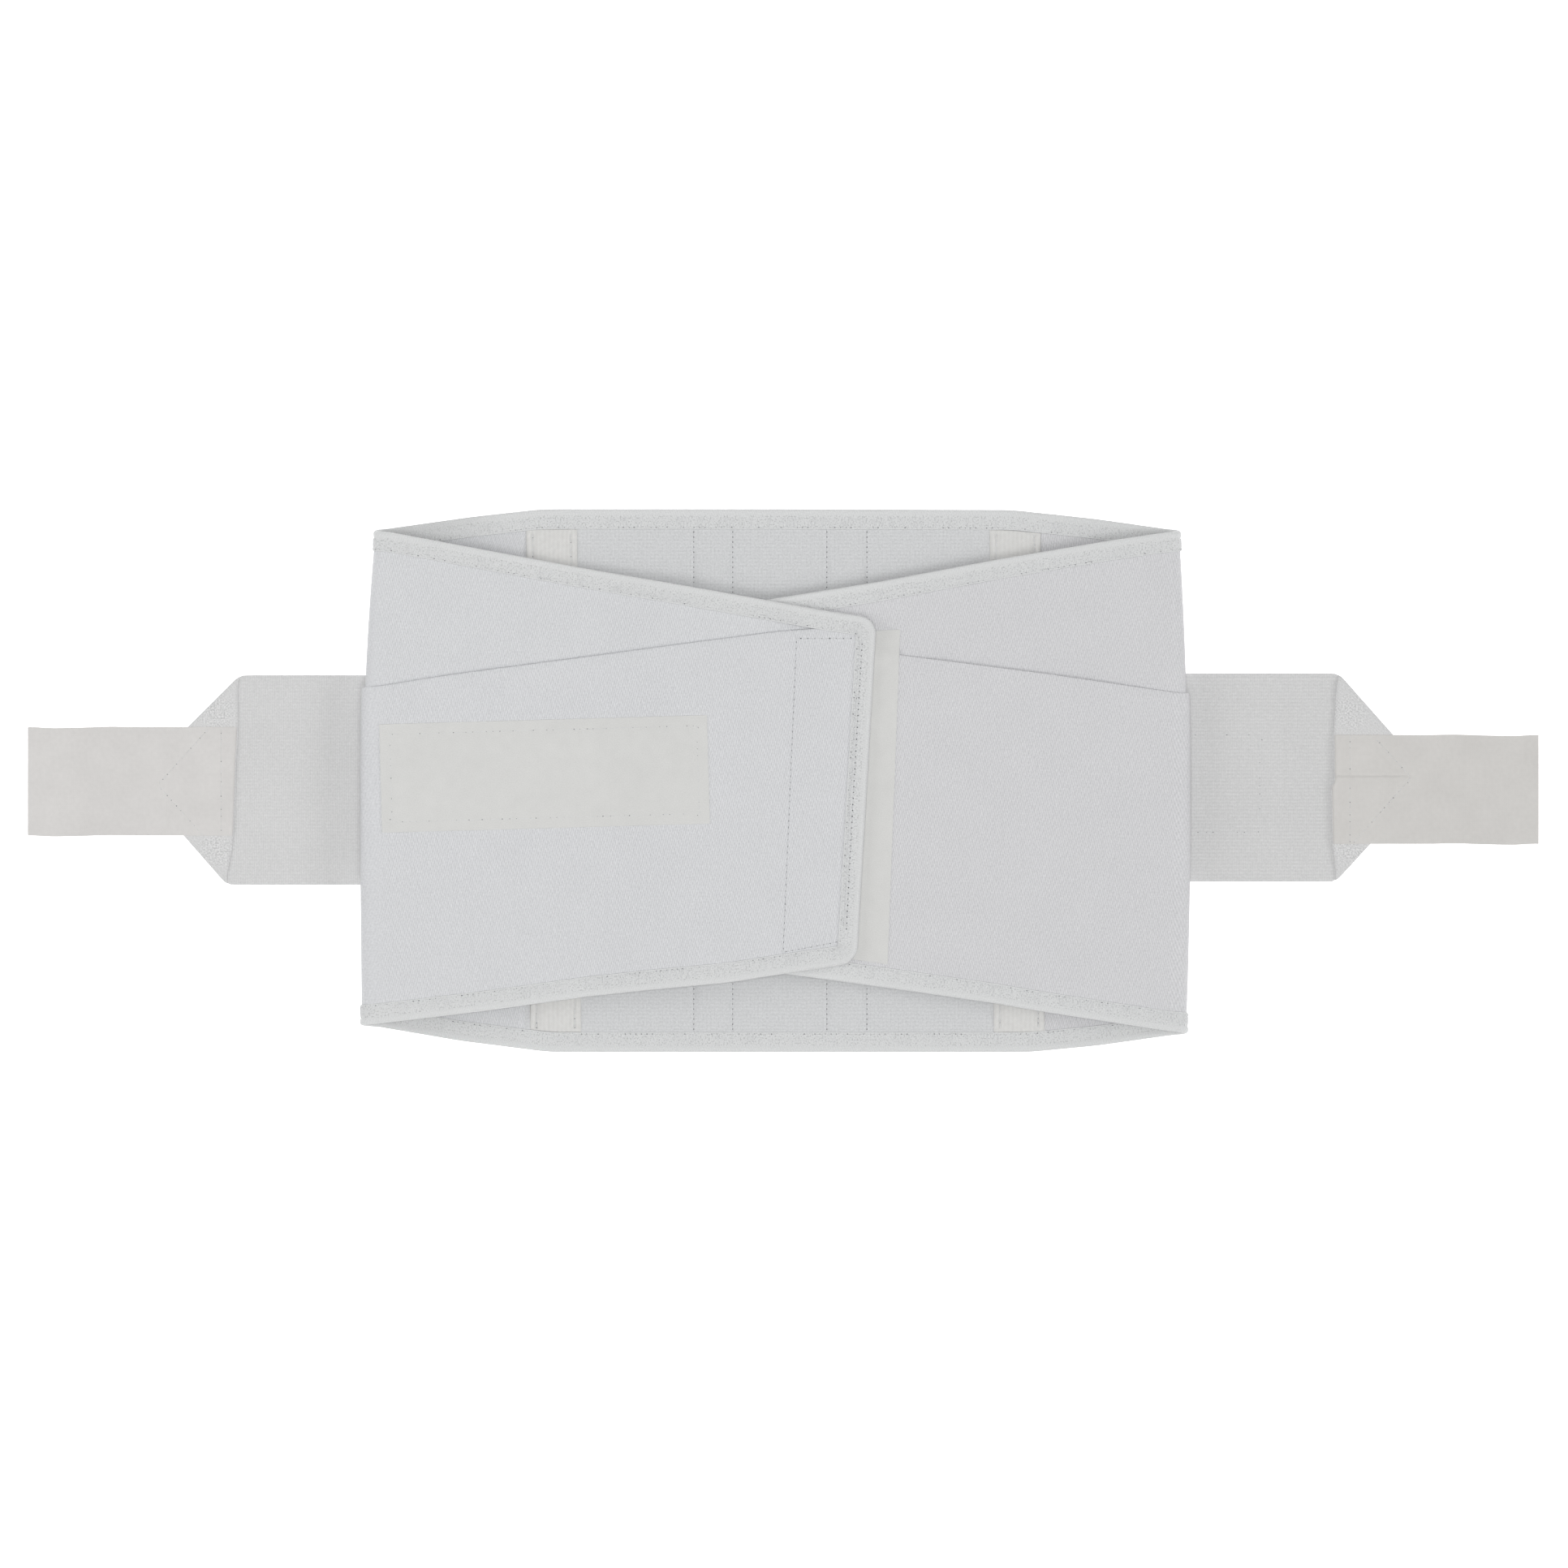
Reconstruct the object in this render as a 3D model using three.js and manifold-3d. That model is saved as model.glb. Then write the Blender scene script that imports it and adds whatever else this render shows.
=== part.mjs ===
// Back support belt lying flat on its back, with its left front panel fastened over the right one.
// Millimetres: X runs across the belt, Y towards its upper edge, Z up from the floor.
import * as THREE from 'three';
import { mergeVertices } from 'three/addons/utils/BufferGeometryUtils.js';
import Module from 'manifold-3d';

const wasm = await Module();
wasm.setup();

// Thicknesses of the cloths and tapes, and the clear space between pieces sewn face to face
const CLOTH = 1.4;
const TAPE = 1.0;
const HOOK_TAPE = 1.2;
const BINDING = 0.8;
const GAP = 0.3;

// Overall sizes
const HALF_REACH = 362.5;
const HALF_BACK_HEIGHT = 130.4;
const SEAM = 123.75;
const BINDING_DEPTH = 9.7;
const CORNER_RADIUS = 8;
const FOLD_RADIUS = 6;

// Layers: the inner band's middle surface is offset 0, and offsets grow away from the wearer
const LAYER = CLOTH + GAP;
const PANEL = CLOTH + LAYER;
const INSET = BINDING + GAP;
const STRAP_RISE = TAPE + GAP;
const FOLD_HEIGHT = STRAP_RISE + 2 * LAYER + CLOTH / 2 + FOLD_RADIUS;
const BACK_INNER_Z = FOLD_HEIGHT - FOLD_RADIUS + CLOTH / 2;

// The left panel climbs over the hidden end of the right one, and clears both closure tapes there
const FRONT_LIFT = 2 * LAYER + 2 * (TAPE + GAP);
const LIFT_START = 94;
const LIFT_END = 41;

// Binding: where it takes in both bands it widens over a short stretch, and its free edge turns the front
// end's corners in a tight mitre
const BINDING_BLEND = 12;
const MITRE_RADIUS = 0.7;
const CORNER_ZONE = BINDING_DEPTH + MITRE_RADIUS;

// Grid counts along and across the bands, tapes and straps
const BACK_STEPS = 3;
const FOLD_STEPS = 8;
const FRONT_STEPS = 24;
const CORNER_STEPS = 4;
const END_STEPS = 4;
const ACROSS_STEPS = 5;
const CHANNEL_STEPS = 4;
const SLOPE_STEPS = 6;
const STRAP_ACROSS_STEPS = 4;
const TAPE_STEPS = 2;
const MERGE_DISTANCE = 1e-4;

// Edge rows are [distance out from the middle, y]. Each edge has its back rows, from the middle to the
// side fold, and its front rows, from the fold to the front end beyond the middle.
// fold: distance of the fold's axis, and how far it draws in at the top and bottom edges.
// end: the front end's distance at y 0, and its lean for each millimetre of y.
// merge: the front distance below which the two bands share the binding at the top and the bottom.
const LEFT = {
  sign: -1,
  lift: FRONT_LIFT,
  fold: { reach: 194.4, drawTop: 6.8, drawBottom: 1.1 },
  end: { at: -40.4, lean: -0.0575 },
  merge: { top: -6, bottom: -24 },
  top: {
    back: [[0, 130.4], [111, 130.4], [189, 121.1]],
    front: [[189, 119.2], [142, 110.4], [97, 102.1], [43, 92.7], [2, 85.4], [-21, 81.3], [-45, 77.8]],
  },
  bottom: {
    back: [[0, -130.4], [107, -130.4], [193, -118.5]],
    front: [[193, -116.3], [142, -110.2], [97, -103.9], [64, -100.2], [25, -96.5], [2, -92.8], [-45, -86]],
  },
  lowerBandTop: {
    back: [[SEAM, 33], [194, 43.4]],
    front: [[194, 45.3], [158, 51], [61, 63.8], [2, 71.6], [-14, 72.7], [-45, 75.5]],
  },
  upperBandBottom: {
    back: [[SEAM, -32], [194, -40.3]],
    front: [[194, -41.7], [-45, -75]],
  },
};
const RIGHT = {
  sign: 1,
  lift: 0,
  fold: { reach: 187, drawTop: 4.7, drawBottom: 2.6 },
  end: { at: -45, lean: 0 },
  merge: { top: -31, bottom: -30 },
  top: {
    back: [[0, 130.4], [110, 130], [183, 121]],
    front: [[183, 118.9], [157, 115.1], [102, 105.9], [46, 95.4], [-10, 86.4], [-45, 80.5]],
  },
  bottom: {
    back: [[0, -130.4], [118, -130.4], [185, -122.5]],
    front: [[185, -120], [124, -110.6], [101, -106.6], [49, -99.2], [2, -92.8], [-45, -86]],
  },
  lowerBandTop: {
    back: [[SEAM, 33], [187, 40.4]],
    front: [[187, 42.4], [130, 50.7], [56, 60.3], [0, 67.5], [-45, 72.5]],
  },
  upperBandBottom: {
    back: [[SEAM, -32], [187, -40.3]],
    front: [[187, -41.7], [-45, -75]],
  },
};

// Stay channels sewn into the back panel, as pairs of stitch lines, and the bulge of the stay between them
const STAY_CHANNELS = [[-42.9, -24.2], [21, 40.2]];
const STAY_BULGE = 0.8;
const STAY_FADE = 12;
const CASING_WIDTH = 24.5;
const CASING_HALF_LENGTH = 117.5;

// Tapes on the front panels, as corners [distance out from the middle, y]
const LOOP_PATCH = { length: 157, height: 52, centre: [114.2, 3.2], turn: 1.6 };
const CLOSURE_LOOP = [[56, 72.4], [-34, 68], [-34, -76], [50, -88]];
const CLOSURE_HOOK = [[-6.2, 67.7], [-33.2, 67.7], [-25.2, -76], [-0.4, -76]];

// Straps: the sewn inner end, the folded corners and the point as distances out from the middle, the edges'
// y, the stretch where the strap comes down to the floor, and the hook tape on its point
const STRAPS = {
  left: {
    sign: -1, inner: 24.2, cornerTop: 260.5, cornerBottom: 265.6, point: 310.8, top: 50.7, bottom: -50.1,
    descent: [206, 242], hook: { inner: 263.6, top: 25.8, bottom: -26.4 },
  },
  right: {
    sign: 1, inner: 21, cornerTop: 266.4, cornerBottom: 265.2, point: 310, top: 51.5, bottom: -48.6,
    descent: [233, 262], hook: { inner: 265.2, top: 22, bottom: -30.4 },
  },
};
const STRAP_LOOP = { inner: 131, outer: 231, top: 24.6, bottom: -27.4 };
const POINT_WIDTH = 1.6;
const FLAP_INSET = 0.4;
const FLAP_SETBACK = 1.6;
const FLAP_SINK = 0.2;
const HOOK_DESCENT = 28;

const lerp = THREE.MathUtils.lerp;
const smoothstep = THREE.MathUtils.smoothstep;

function steps(count) {
  return Array.from({ length: count + 1 }, (_, i) => i / count);
}

// The y of an edge at a distance out from the middle, straight between its rows
function edgeY(rows, distance) {
  const rising = rows.at(-1)[0] > rows[0][0];
  const ordered = rising ? rows : [...rows].reverse();
  const last = ordered.length - 2;
  const found = ordered.findIndex((row, i) => i > last || distance < ordered[i + 1][0]);
  const at = Math.min(found, last);
  const [from, to] = [ordered[at], ordered[at + 1]];
  const share = THREE.MathUtils.clamp((distance - from[0]) / (to[0] - from[0]), 0, 1);
  return lerp(from[1], to[1], share);
}

// Distance of the side fold's axis at a height y
function foldLine(side, y) {
  const draw = y > 0 ? side.fold.drawTop : side.fold.drawBottom;
  return side.fold.reach - draw * (y / HALF_BACK_HEIGHT) ** 2;
}

function endLine(side, y) {
  return side.end.at + side.end.lean * y;
}

// A point of a side, on its back leg, round its fold (along is then the angle) or on its front leg
function place(side, leg, along, y, offset) {
  const radius = FOLD_RADIUS + offset;
  if (leg === 'back') {
    return new THREE.Vector3(side.sign * along, y, FOLD_HEIGHT - radius);
  }
  if (leg === 'fold') {
    const distance = foldLine(side, y) + radius * Math.sin(along);
    return new THREE.Vector3(side.sign * distance, y, FOLD_HEIGHT - radius * Math.cos(along));
  }
  const lift = side.lift * (1 - smoothstep(along, LIFT_END, LIFT_START));
  return new THREE.Vector3(side.sign * along, y, FOLD_HEIGHT + radius + lift);
}

// Places along a band from the back seam to the front end, closer together at the rounded end corners
function bandStations() {
  const radius = CORNER_RADIUS - INSET;
  const back = steps(BACK_STEPS).slice(0, -1).map((share) => ({ leg: 'back', share }));
  const fold = steps(FOLD_STEPS).map((share) => ({ leg: 'fold', share }));
  const front = steps(FRONT_STEPS).slice(1, -1).map((share) => ({ leg: 'front', share, fromEnd: 0 }));
  const end = steps(CORNER_STEPS).reverse().map((share) => {
    const fromEnd = radius * (1 - Math.cos(share * Math.PI / 2));
    return { leg: 'front', share: 1, fromEnd };
  });
  return [...back, ...fold, ...front, ...end];
}

// How far a rounded corner cuts into an edge at a distance from the end
function cornerCut(fromEnd) {
  const radius = CORNER_RADIUS - INSET;
  if (fromEnd >= radius) {
    return 0;
  }
  return radius - Math.sqrt(radius ** 2 - (radius - fromEnd) ** 2);
}

// Geometry from points and outward triangles
function meshGeometry(points, triangles) {
  const geometry = new THREE.BufferGeometry();
  const flat = points.flatMap((point) => [point.x, point.y, point.z]);
  geometry.setAttribute('position', new THREE.Float32BufferAttribute(flat, 3));
  geometry.setIndex(triangles.flat());
  geometry.computeVertexNormals();
  return geometry;
}

function quad(a, b, c, d, flip) {
  return flip ? [[a, c, b], [a, d, c]] : [[a, b, c], [a, c, d]];
}

// Closed sheet over a grid: pointAt(i, j, face) gives its lower face (0) and upper face (1), where the
// directions of i, j and upward are right-handed unless flip is set
function sheetGeometry(countI, countJ, pointAt, flip) {
  const points = [];
  const index = (i, j, face) => (i * (countJ + 1) + j) * 2 + face;
  for (let i = 0; i <= countI; i += 1) {
    for (let j = 0; j <= countJ; j += 1) {
      points.push(pointAt(i, j, 0), pointAt(i, j, 1));
    }
  }
  const triangles = [];
  for (let i = 0; i < countI; i += 1) {
    for (let j = 0; j < countJ; j += 1) {
      const corners = [[i, j], [i + 1, j], [i + 1, j + 1], [i, j + 1]];
      const upper = corners.map(([a, b]) => index(a, b, 1));
      const lower = corners.map(([a, b]) => index(a, b, 0));
      triangles.push(...quad(...upper, flip), ...quad(...lower, !flip));
    }
  }
  const rim = [];
  for (let i = 0; i < countI; i += 1) {
    rim.push([[i, 0], [i + 1, 0]], [[i + 1, countJ], [i, countJ]]);
  }
  for (let j = 0; j < countJ; j += 1) {
    rim.push([[countI, j], [countI, j + 1]], [[0, j + 1], [0, j]]);
  }
  for (const [[a, b], [c, d]] of rim) {
    triangles.push(...quad(index(a, b, 0), index(c, d, 0), index(c, d, 1), index(a, b, 1), flip));
  }
  return meshGeometry(points, triangles);
}

// The y of an edge on its way round the side fold
function foldY(edge, share) {
  return lerp(edge.back.at(-1)[1], edge.front[0][1], share);
}

// Elastic band from the back seam round the fold to the front end, between two edges
function bandGeometry(side, topEdge, bottomEdge, offset) {
  const stations = bandStations();
  const foldAt = (across) => foldLine(side, lerp(foldY(bottomEdge, 0.5), foldY(topEdge, 0.5), across));
  const distanceAt = (station, across, y) => {
    if (station.leg === 'back') {
      return lerp(SEAM + GAP, foldAt(across), station.share);
    }
    return lerp(foldAt(across), endLine(side, y) + INSET + station.fromEnd, station.share);
  };
  const edgesAt = (station) => {
    if (station.leg === 'fold') {
      const lowest = foldY(side.bottom, station.share) + INSET;
      const highest = foldY(side.top, station.share) - INSET;
      return [
        Math.max(foldY(bottomEdge, station.share), lowest),
        Math.min(foldY(topEdge, station.share), highest),
      ];
    }
    const low = distanceAt(station, 0, bottomEdge.front.at(-1)[1]);
    const high = distanceAt(station, 1, topEdge.front.at(-1)[1]);
    const cut = station.share === 1 ? cornerCut(station.fromEnd) : 0;
    const lowest = edgeY(side.bottom[station.leg], low) + INSET + cut;
    const highest = edgeY(side.top[station.leg], high) - INSET - cut;
    return [
      Math.max(edgeY(bottomEdge[station.leg], low), lowest),
      Math.min(edgeY(topEdge[station.leg], high), highest),
    ];
  };
  const pointAt = (i, j, face) => {
    const station = stations[i];
    const across = j / ACROSS_STEPS;
    const y = lerp(...edgesAt(station), across);
    const along = station.leg === 'fold' ? station.share * Math.PI : distanceAt(station, across, y);
    return place(side, station.leg, along, y, offset + (face - 0.5) * CLOTH);
  };
  return sheetGeometry(stations.length - 1, ACROSS_STEPS, pointAt, side.sign > 0);
}

// Four-cornered tape lying on a front panel, from an offset outwards
function frontTapeGeometry(side, corners, offset, countAlong) {
  const [topOut, topIn, bottomIn, bottomOut] = corners;
  const pointAt = (i, j, face) => {
    const along = i / countAlong;
    const across = j / TAPE_STEPS;
    const top = [lerp(topOut[0], topIn[0], along), lerp(topOut[1], topIn[1], along)];
    const bottom = [lerp(bottomOut[0], bottomIn[0], along), lerp(bottomOut[1], bottomIn[1], along)];
    const distance = lerp(bottom[0], top[0], across);
    return place(side, 'front', distance, lerp(bottom[1], top[1], across), offset + face * TAPE);
  };
  return sheetGeometry(countAlong, TAPE_STEPS, pointAt, side.sign > 0);
}

function turnedCorners({ length, height, centre, turn }) {
  const angle = THREE.MathUtils.degToRad(turn);
  const middle = new THREE.Vector2(...centre);
  const corner = (out, up) => {
    const point = new THREE.Vector2(out * length / 2, up * height / 2).add(middle);
    return point.rotateAround(middle, -angle).toArray();
  };
  return [corner(1, 1), corner(-1, 1), corner(-1, -1), corner(1, -1)];
}

// Offsets of the cloth-side faces of the binding's two legs, where share says how far both bands lie in it
function bindingFaces(edge, share) {
  const clear = CLOTH / 2 + GAP;
  if (edge === 'top') {
    return [-clear, clear + LAYER * share];
  }
  return [LAYER - clear - LAYER * share, LAYER + clear];
}

// Stations of the binding round one side, from the top middle of the back to its bottom middle. Each has
// the tape's fold line (outer) and its free edge (inner) as [along, y], and its legs' faces.
function edgeStations(side, edge) {
  const inward = edge === 'top' ? -1 : 1;
  const rows = side[edge];
  const fold = foldLine(side, foldY(rows, 0.5));
  const end = endLine(side, rows.front.at(-1)[1]);
  const station = (leg, along, y, share) => ({
    leg, outer: [along, y], inner: [along, y + inward * BINDING_DEPTH], faces: bindingFaces(edge, share),
  });
  const panelCorner = rows.back[1][0];
  const blended = SEAM + BINDING_BLEND;
  const backDistances = [0, SEAM / 2, panelCorner, SEAM - 1, SEAM + 1, blended, (blended + fold) / 2];
  const back = backDistances.map((distance) => {
    const share = 1 - smoothstep(distance, SEAM + 1, blended);
    return station('back', distance, edgeY(rows.back, distance), share);
  });
  const round = steps(FOLD_STEPS).map((share) => station('fold', share * Math.PI, foldY(rows, share), 0));
  const merge = side.merge[edge];
  const front = steps(FRONT_STEPS).slice(1).map((share) => lerp(fold, end + INSET, share));
  const straight = front.filter((distance) => distance > end + CORNER_ZONE).map((distance) => {
    const share = 1 - smoothstep(distance, merge, merge + BINDING_BLEND);
    return station('front', distance, edgeY(rows.front, distance), share);
  });
  return [...back, ...round, ...straight];
}

// Round the front end's corner: the fold line takes the corner's arc, and the free edge a tight mitre
function cornerStations(side, edge) {
  const inward = edge === 'top' ? -1 : 1;
  const rows = side[edge].front;
  const toPlan = ([fromEnd, fromEdge]) => {
    const nearEnd = endLine(side, rows.at(-1)[1]) + fromEnd;
    const y = edgeY(rows, nearEnd) + inward * fromEdge;
    return [endLine(side, y) + fromEnd, y];
  };
  const arc = (centre, radius, share) => {
    const angle = share * Math.PI / 2;
    return [centre - radius * Math.sin(angle), centre - radius * Math.cos(angle)];
  };
  const outer = steps(CORNER_STEPS).map((share) => arc(CORNER_RADIUS, CORNER_RADIUS, share));
  const fold = [[CORNER_ZONE, 0], ...outer, [0, CORNER_ZONE]];
  return fold.map((point, i) => ({
    leg: 'front',
    outer: toPlan(point),
    inner: toPlan(arc(CORNER_ZONE, MITRE_RADIUS, i / (fold.length - 1))),
    faces: bindingFaces(edge, 1),
  }));
}

function bindingStations(side) {
  const topCorner = cornerStations(side, 'top');
  const bottomCorner = cornerStations(side, 'bottom').reverse();
  const upper = topCorner.at(-1);
  const lower = bottomCorner[0];
  const between = steps(END_STEPS).slice(1, -1).map((share) => {
    const mix = (key) => [0, 1].map((axis) => lerp(upper[key][axis], lower[key][axis], share));
    return { leg: 'front', outer: mix('outer'), inner: mix('inner'), faces: bindingFaces('top', 1) };
  });
  const bottom = edgeStations(side, 'bottom').reverse();
  return [...edgeStations(side, 'top'), ...topCorner, ...between, ...bottomCorner, ...bottom];
}

// One continuous U-shaped tape folded over the edge all round
function bindingGeometry() {
  const inside = BINDING / BINDING_DEPTH;
  const round = BINDING / 2;
  const section = ([low, high]) => [
    [1, high + BINDING], [round / BINDING_DEPTH, high + BINDING], [0, high + round],
    [0, low - round], [round / BINDING_DEPTH, low - BINDING], [1, low - BINDING],
    [1, low], [inside, low], [inside, high], [1, high],
  ];
  const ring = (side) => (station) => section(station.faces).map(([depth, offset]) => {
    const along = lerp(station.outer[0], station.inner[0], depth);
    return place(side, station.leg, along, lerp(station.outer[1], station.inner[1], depth), offset);
  });
  const left = bindingStations(LEFT).map(ring(LEFT));
  const right = bindingStations(RIGHT).reverse().slice(1, -1).map(ring(RIGHT));
  const rings = [...left, ...right];
  const size = rings[0].length;
  const triangles = rings.flatMap((_, i) => steps(size).slice(0, -1).flatMap((_share, j) => {
    const next = (i + 1) % rings.length;
    const beside = (j + 1) % size;
    return quad(i * size + j, next * size + j, next * size + beside, i * size + beside, false);
  }));
  return meshGeometry(rings.flat(), triangles);
}

// Back panel: a flat double cloth whose two stay channels bulge on the wearer's side
function backPanelGeometry() {
  const channelColumns = STAY_CHANNELS.flatMap(([from, to]) => (
    steps(CHANNEL_STEPS).map((share) => lerp(from, to, share))
  ));
  const leftColumns = [-SEAM, -LEFT.top.back[1][0], -LEFT.bottom.back[1][0], -SEAM / 2];
  const rightColumns = [SEAM / 2, RIGHT.top.back[1][0], RIGHT.bottom.back[1][0], SEAM];
  const columns = [...leftColumns, ...channelColumns, ...rightColumns];
  const bulgeAt = (x) => {
    const channel = STAY_CHANNELS.find(([from, to]) => x > from && x < to);
    return channel ? STAY_BULGE * Math.sin(Math.PI * (x - channel[0]) / (channel[1] - channel[0])) : 0;
  };
  const faded = BINDING_DEPTH + STAY_FADE;
  const rows = [
    { share: 0, inset: 0, bulge: 0 },
    { share: 0, inset: BINDING_DEPTH, bulge: 0 },
    { share: 0, inset: faded, bulge: 1 },
    { share: 1, inset: -faded, bulge: 1 },
    { share: 1, inset: -BINDING_DEPTH, bulge: 0 },
    { share: 1, inset: 0, bulge: 0 },
  ];
  const pointAt = (i, j, face) => {
    const x = columns[i];
    const { share, inset, bulge } = rows[j];
    const side = x < 0 ? LEFT : RIGHT;
    const low = edgeY(side.bottom.back, Math.abs(x)) + INSET;
    const high = edgeY(side.top.back, Math.abs(x)) - INSET;
    const height = (PANEL + bulge * bulgeAt(x)) * face;
    return new THREE.Vector3(x, lerp(low, high, share) + inset, BACK_INNER_Z - PANEL + height);
  };
  return sheetGeometry(columns.length - 1, rows.length - 1, pointAt, false);
}

// Flat tape with its long sides along X or Y
function tapeGeometry(fromX, toX, fromY, toY, bottom) {
  const geometry = new THREE.BoxGeometry(Math.abs(toX - fromX), Math.abs(toY - fromY), TAPE);
  geometry.translate((fromX + toX) / 2, (fromY + toY) / 2, bottom + TAPE / 2);
  return geometry;
}

function toSolid(geometry) {
  const bare = new THREE.BufferGeometry();
  bare.setAttribute('position', geometry.getAttribute('position'));
  bare.setIndex(geometry.getIndex());
  const merged = mergeVertices(bare, MERGE_DISTANCE);
  const vertProperties = new Float32Array(merged.getAttribute('position').array);
  const triVerts = new Uint32Array(merged.getIndex().array);
  return new wasm.Manifold(new wasm.Mesh({ numProp: 3, vertProperties, triVerts }));
}

function fromSolid(solid) {
  const mesh = solid.getMesh();
  const geometry = new THREE.BufferGeometry();
  geometry.setAttribute('position', new THREE.BufferAttribute(new Float32Array(mesh.vertProperties), 3));
  geometry.setIndex(new THREE.BufferAttribute(new Uint32Array(mesh.triVerts), 1));
  geometry.computeVertexNormals();
  return geometry;
}

// Elastic strap that comes down to the floor beside the belt, with its end corners folded in to a point
function strapGeometry(strap) {
  const middle = (strap.top + strap.bottom) / 2;
  const rise = (distance) => STRAP_RISE * (1 - smoothstep(distance, ...strap.descent));
  const descent = steps(SLOPE_STEPS).map((share) => lerp(...strap.descent, share));
  const straight = [strap.inner, ...descent].map((distance) => (
    [[distance, strap.bottom], [distance, strap.top]]
  ));
  const corner = [[strap.cornerBottom, strap.bottom], [strap.cornerTop, strap.top]];
  const point = [[strap.point, middle - POINT_WIDTH / 2], [strap.point, middle + POINT_WIDTH / 2]];
  const stations = [...straight, corner, point];
  const pointAt = (i, j, face) => {
    const [low, high] = stations[i];
    const distance = lerp(low[0], high[0], j / STRAP_ACROSS_STEPS);
    const y = lerp(low[1], high[1], j / STRAP_ACROSS_STEPS);
    return new THREE.Vector3(strap.sign * distance, y, rise(distance) + face * CLOTH);
  };
  const strip = toSolid(sheetGeometry(stations.length - 1, STRAP_ACROSS_STEPS, pointAt, strap.sign < 0));
  const flap = (cornerDistance, cornerY) => {
    const towards = Math.sign(cornerY - middle);
    const base = cornerDistance + FLAP_INSET;
    const meeting = middle + towards * FLAP_INSET;
    const shape = new THREE.Shape();
    shape.moveTo(strap.sign * base, cornerY - towards * FLAP_SETBACK);
    shape.lineTo(strap.sign * (strap.point - FLAP_SETBACK), meeting);
    shape.lineTo(strap.sign * base, meeting);
    const geometry = new THREE.ExtrudeGeometry(shape, { depth: CLOTH + FLAP_SINK, bevelEnabled: false });
    geometry.translate(0, 0, CLOTH - FLAP_SINK);
    return toSolid(geometry);
  };
  const folded = strip.add(flap(strap.cornerTop, strap.top)).add(flap(strap.cornerBottom, strap.bottom));
  return fromSolid(folded);
}

// Hook tape sewn on a strap's point, whose free end lies on the floor
function strapHookGeometry(strap) {
  const { inner, top, bottom } = strap.hook;
  const seat = 2 * CLOTH + GAP;
  const slope = [strap.point + 1, strap.point + 1 + HOOK_DESCENT];
  const stations = [inner, ...steps(SLOPE_STEPS).map((share) => lerp(...slope, share)), HALF_REACH];
  const pointAt = (i, j, face) => {
    const fall = 1 - smoothstep(stations[i], ...slope);
    const y = lerp(bottom, top, j / TAPE_STEPS);
    return new THREE.Vector3(strap.sign * stations[i], y, seat * fall + face * HOOK_TAPE);
  };
  return sheetGeometry(stations.length - 1, TAPE_STEPS, pointAt, strap.sign < 0);
}

const FINISHES = {
  elastic: new THREE.MeshStandardMaterial({ color: 0xd1d2d4, roughness: 0.85, metalness: 0 }),
  mesh: new THREE.MeshStandardMaterial({ color: 0xcdced0, roughness: 0.9, metalness: 0 }),
  binding: new THREE.MeshStandardMaterial({ color: 0xcfd1d3, roughness: 0.8, metalness: 0 }),
  loop: new THREE.MeshStandardMaterial({ color: 0xd3d4d1, roughness: 0.95, metalness: 0 }),
  hook: new THREE.MeshStandardMaterial({ color: 0xd2d0ce, roughness: 0.7, metalness: 0 }),
  webbing: new THREE.MeshStandardMaterial({ color: 0xcdcccc, roughness: 0.85, metalness: 0 }),
  twill: new THREE.MeshStandardMaterial({ color: 0xd2d1cf, roughness: 0.8, metalness: 0 }),
};

const belt = new THREE.Group();

function addPiece(name, geometry, finish) {
  const mesh = new THREE.Mesh(geometry, FINISHES[finish]);
  mesh.name = name;
  belt.add(mesh);
}

// Back
addPiece('back_panel', backPanelGeometry(), 'mesh');
const casingZ = BACK_INNER_Z + GAP;
for (const [name, sign] of [['left', -1], ['right', 1]]) {
  const seamSide = sign * (SEAM - GAP);
  const freeSide = sign * (SEAM - GAP - CASING_WIDTH);
  const casing = tapeGeometry(seamSide, freeSide, -CASING_HALF_LENGTH, CASING_HALF_LENGTH, casingZ);
  addPiece(`stay_casing_${name}`, casing, 'twill');
}

// Sides
for (const [name, side] of [['left', LEFT], ['right', RIGHT]]) {
  addPiece(`upper_band_${name}`, bandGeometry(side, side.top, side.upperBandBottom, 0), 'elastic');
  addPiece(`lower_band_${name}`, bandGeometry(side, side.lowerBandTop, side.bottom, LAYER), 'elastic');
}
addPiece('edge_binding', bindingGeometry(), 'binding');

// Closure and front patch
const overLowerBand = LAYER + CLOTH / 2 + GAP;
const underUpperBand = -CLOTH / 2 - GAP - TAPE;
const frontPatch = frontTapeGeometry(LEFT, turnedCorners(LOOP_PATCH), overLowerBand, FRONT_STEPS);
addPiece('front_loop_patch', frontPatch, 'loop');
addPiece('closure_loop', frontTapeGeometry(RIGHT, CLOSURE_LOOP, overLowerBand, TAPE_STEPS), 'loop');
addPiece('closure_hook', frontTapeGeometry(LEFT, CLOSURE_HOOK, underUpperBand, TAPE_STEPS), 'hook');

// Straps under the back
for (const [name, strap] of Object.entries(STRAPS)) {
  addPiece(`strap_${name}`, strapGeometry(strap), 'webbing');
  addPiece(`strap_hook_${name}`, strapHookGeometry(strap), 'hook');
}
const { inner, outer, top, bottom } = STRAP_LOOP;
addPiece('strap_loop_patch', tapeGeometry(inner, outer, bottom, top, 0), 'loop');

export default belt;
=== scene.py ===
import math

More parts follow.
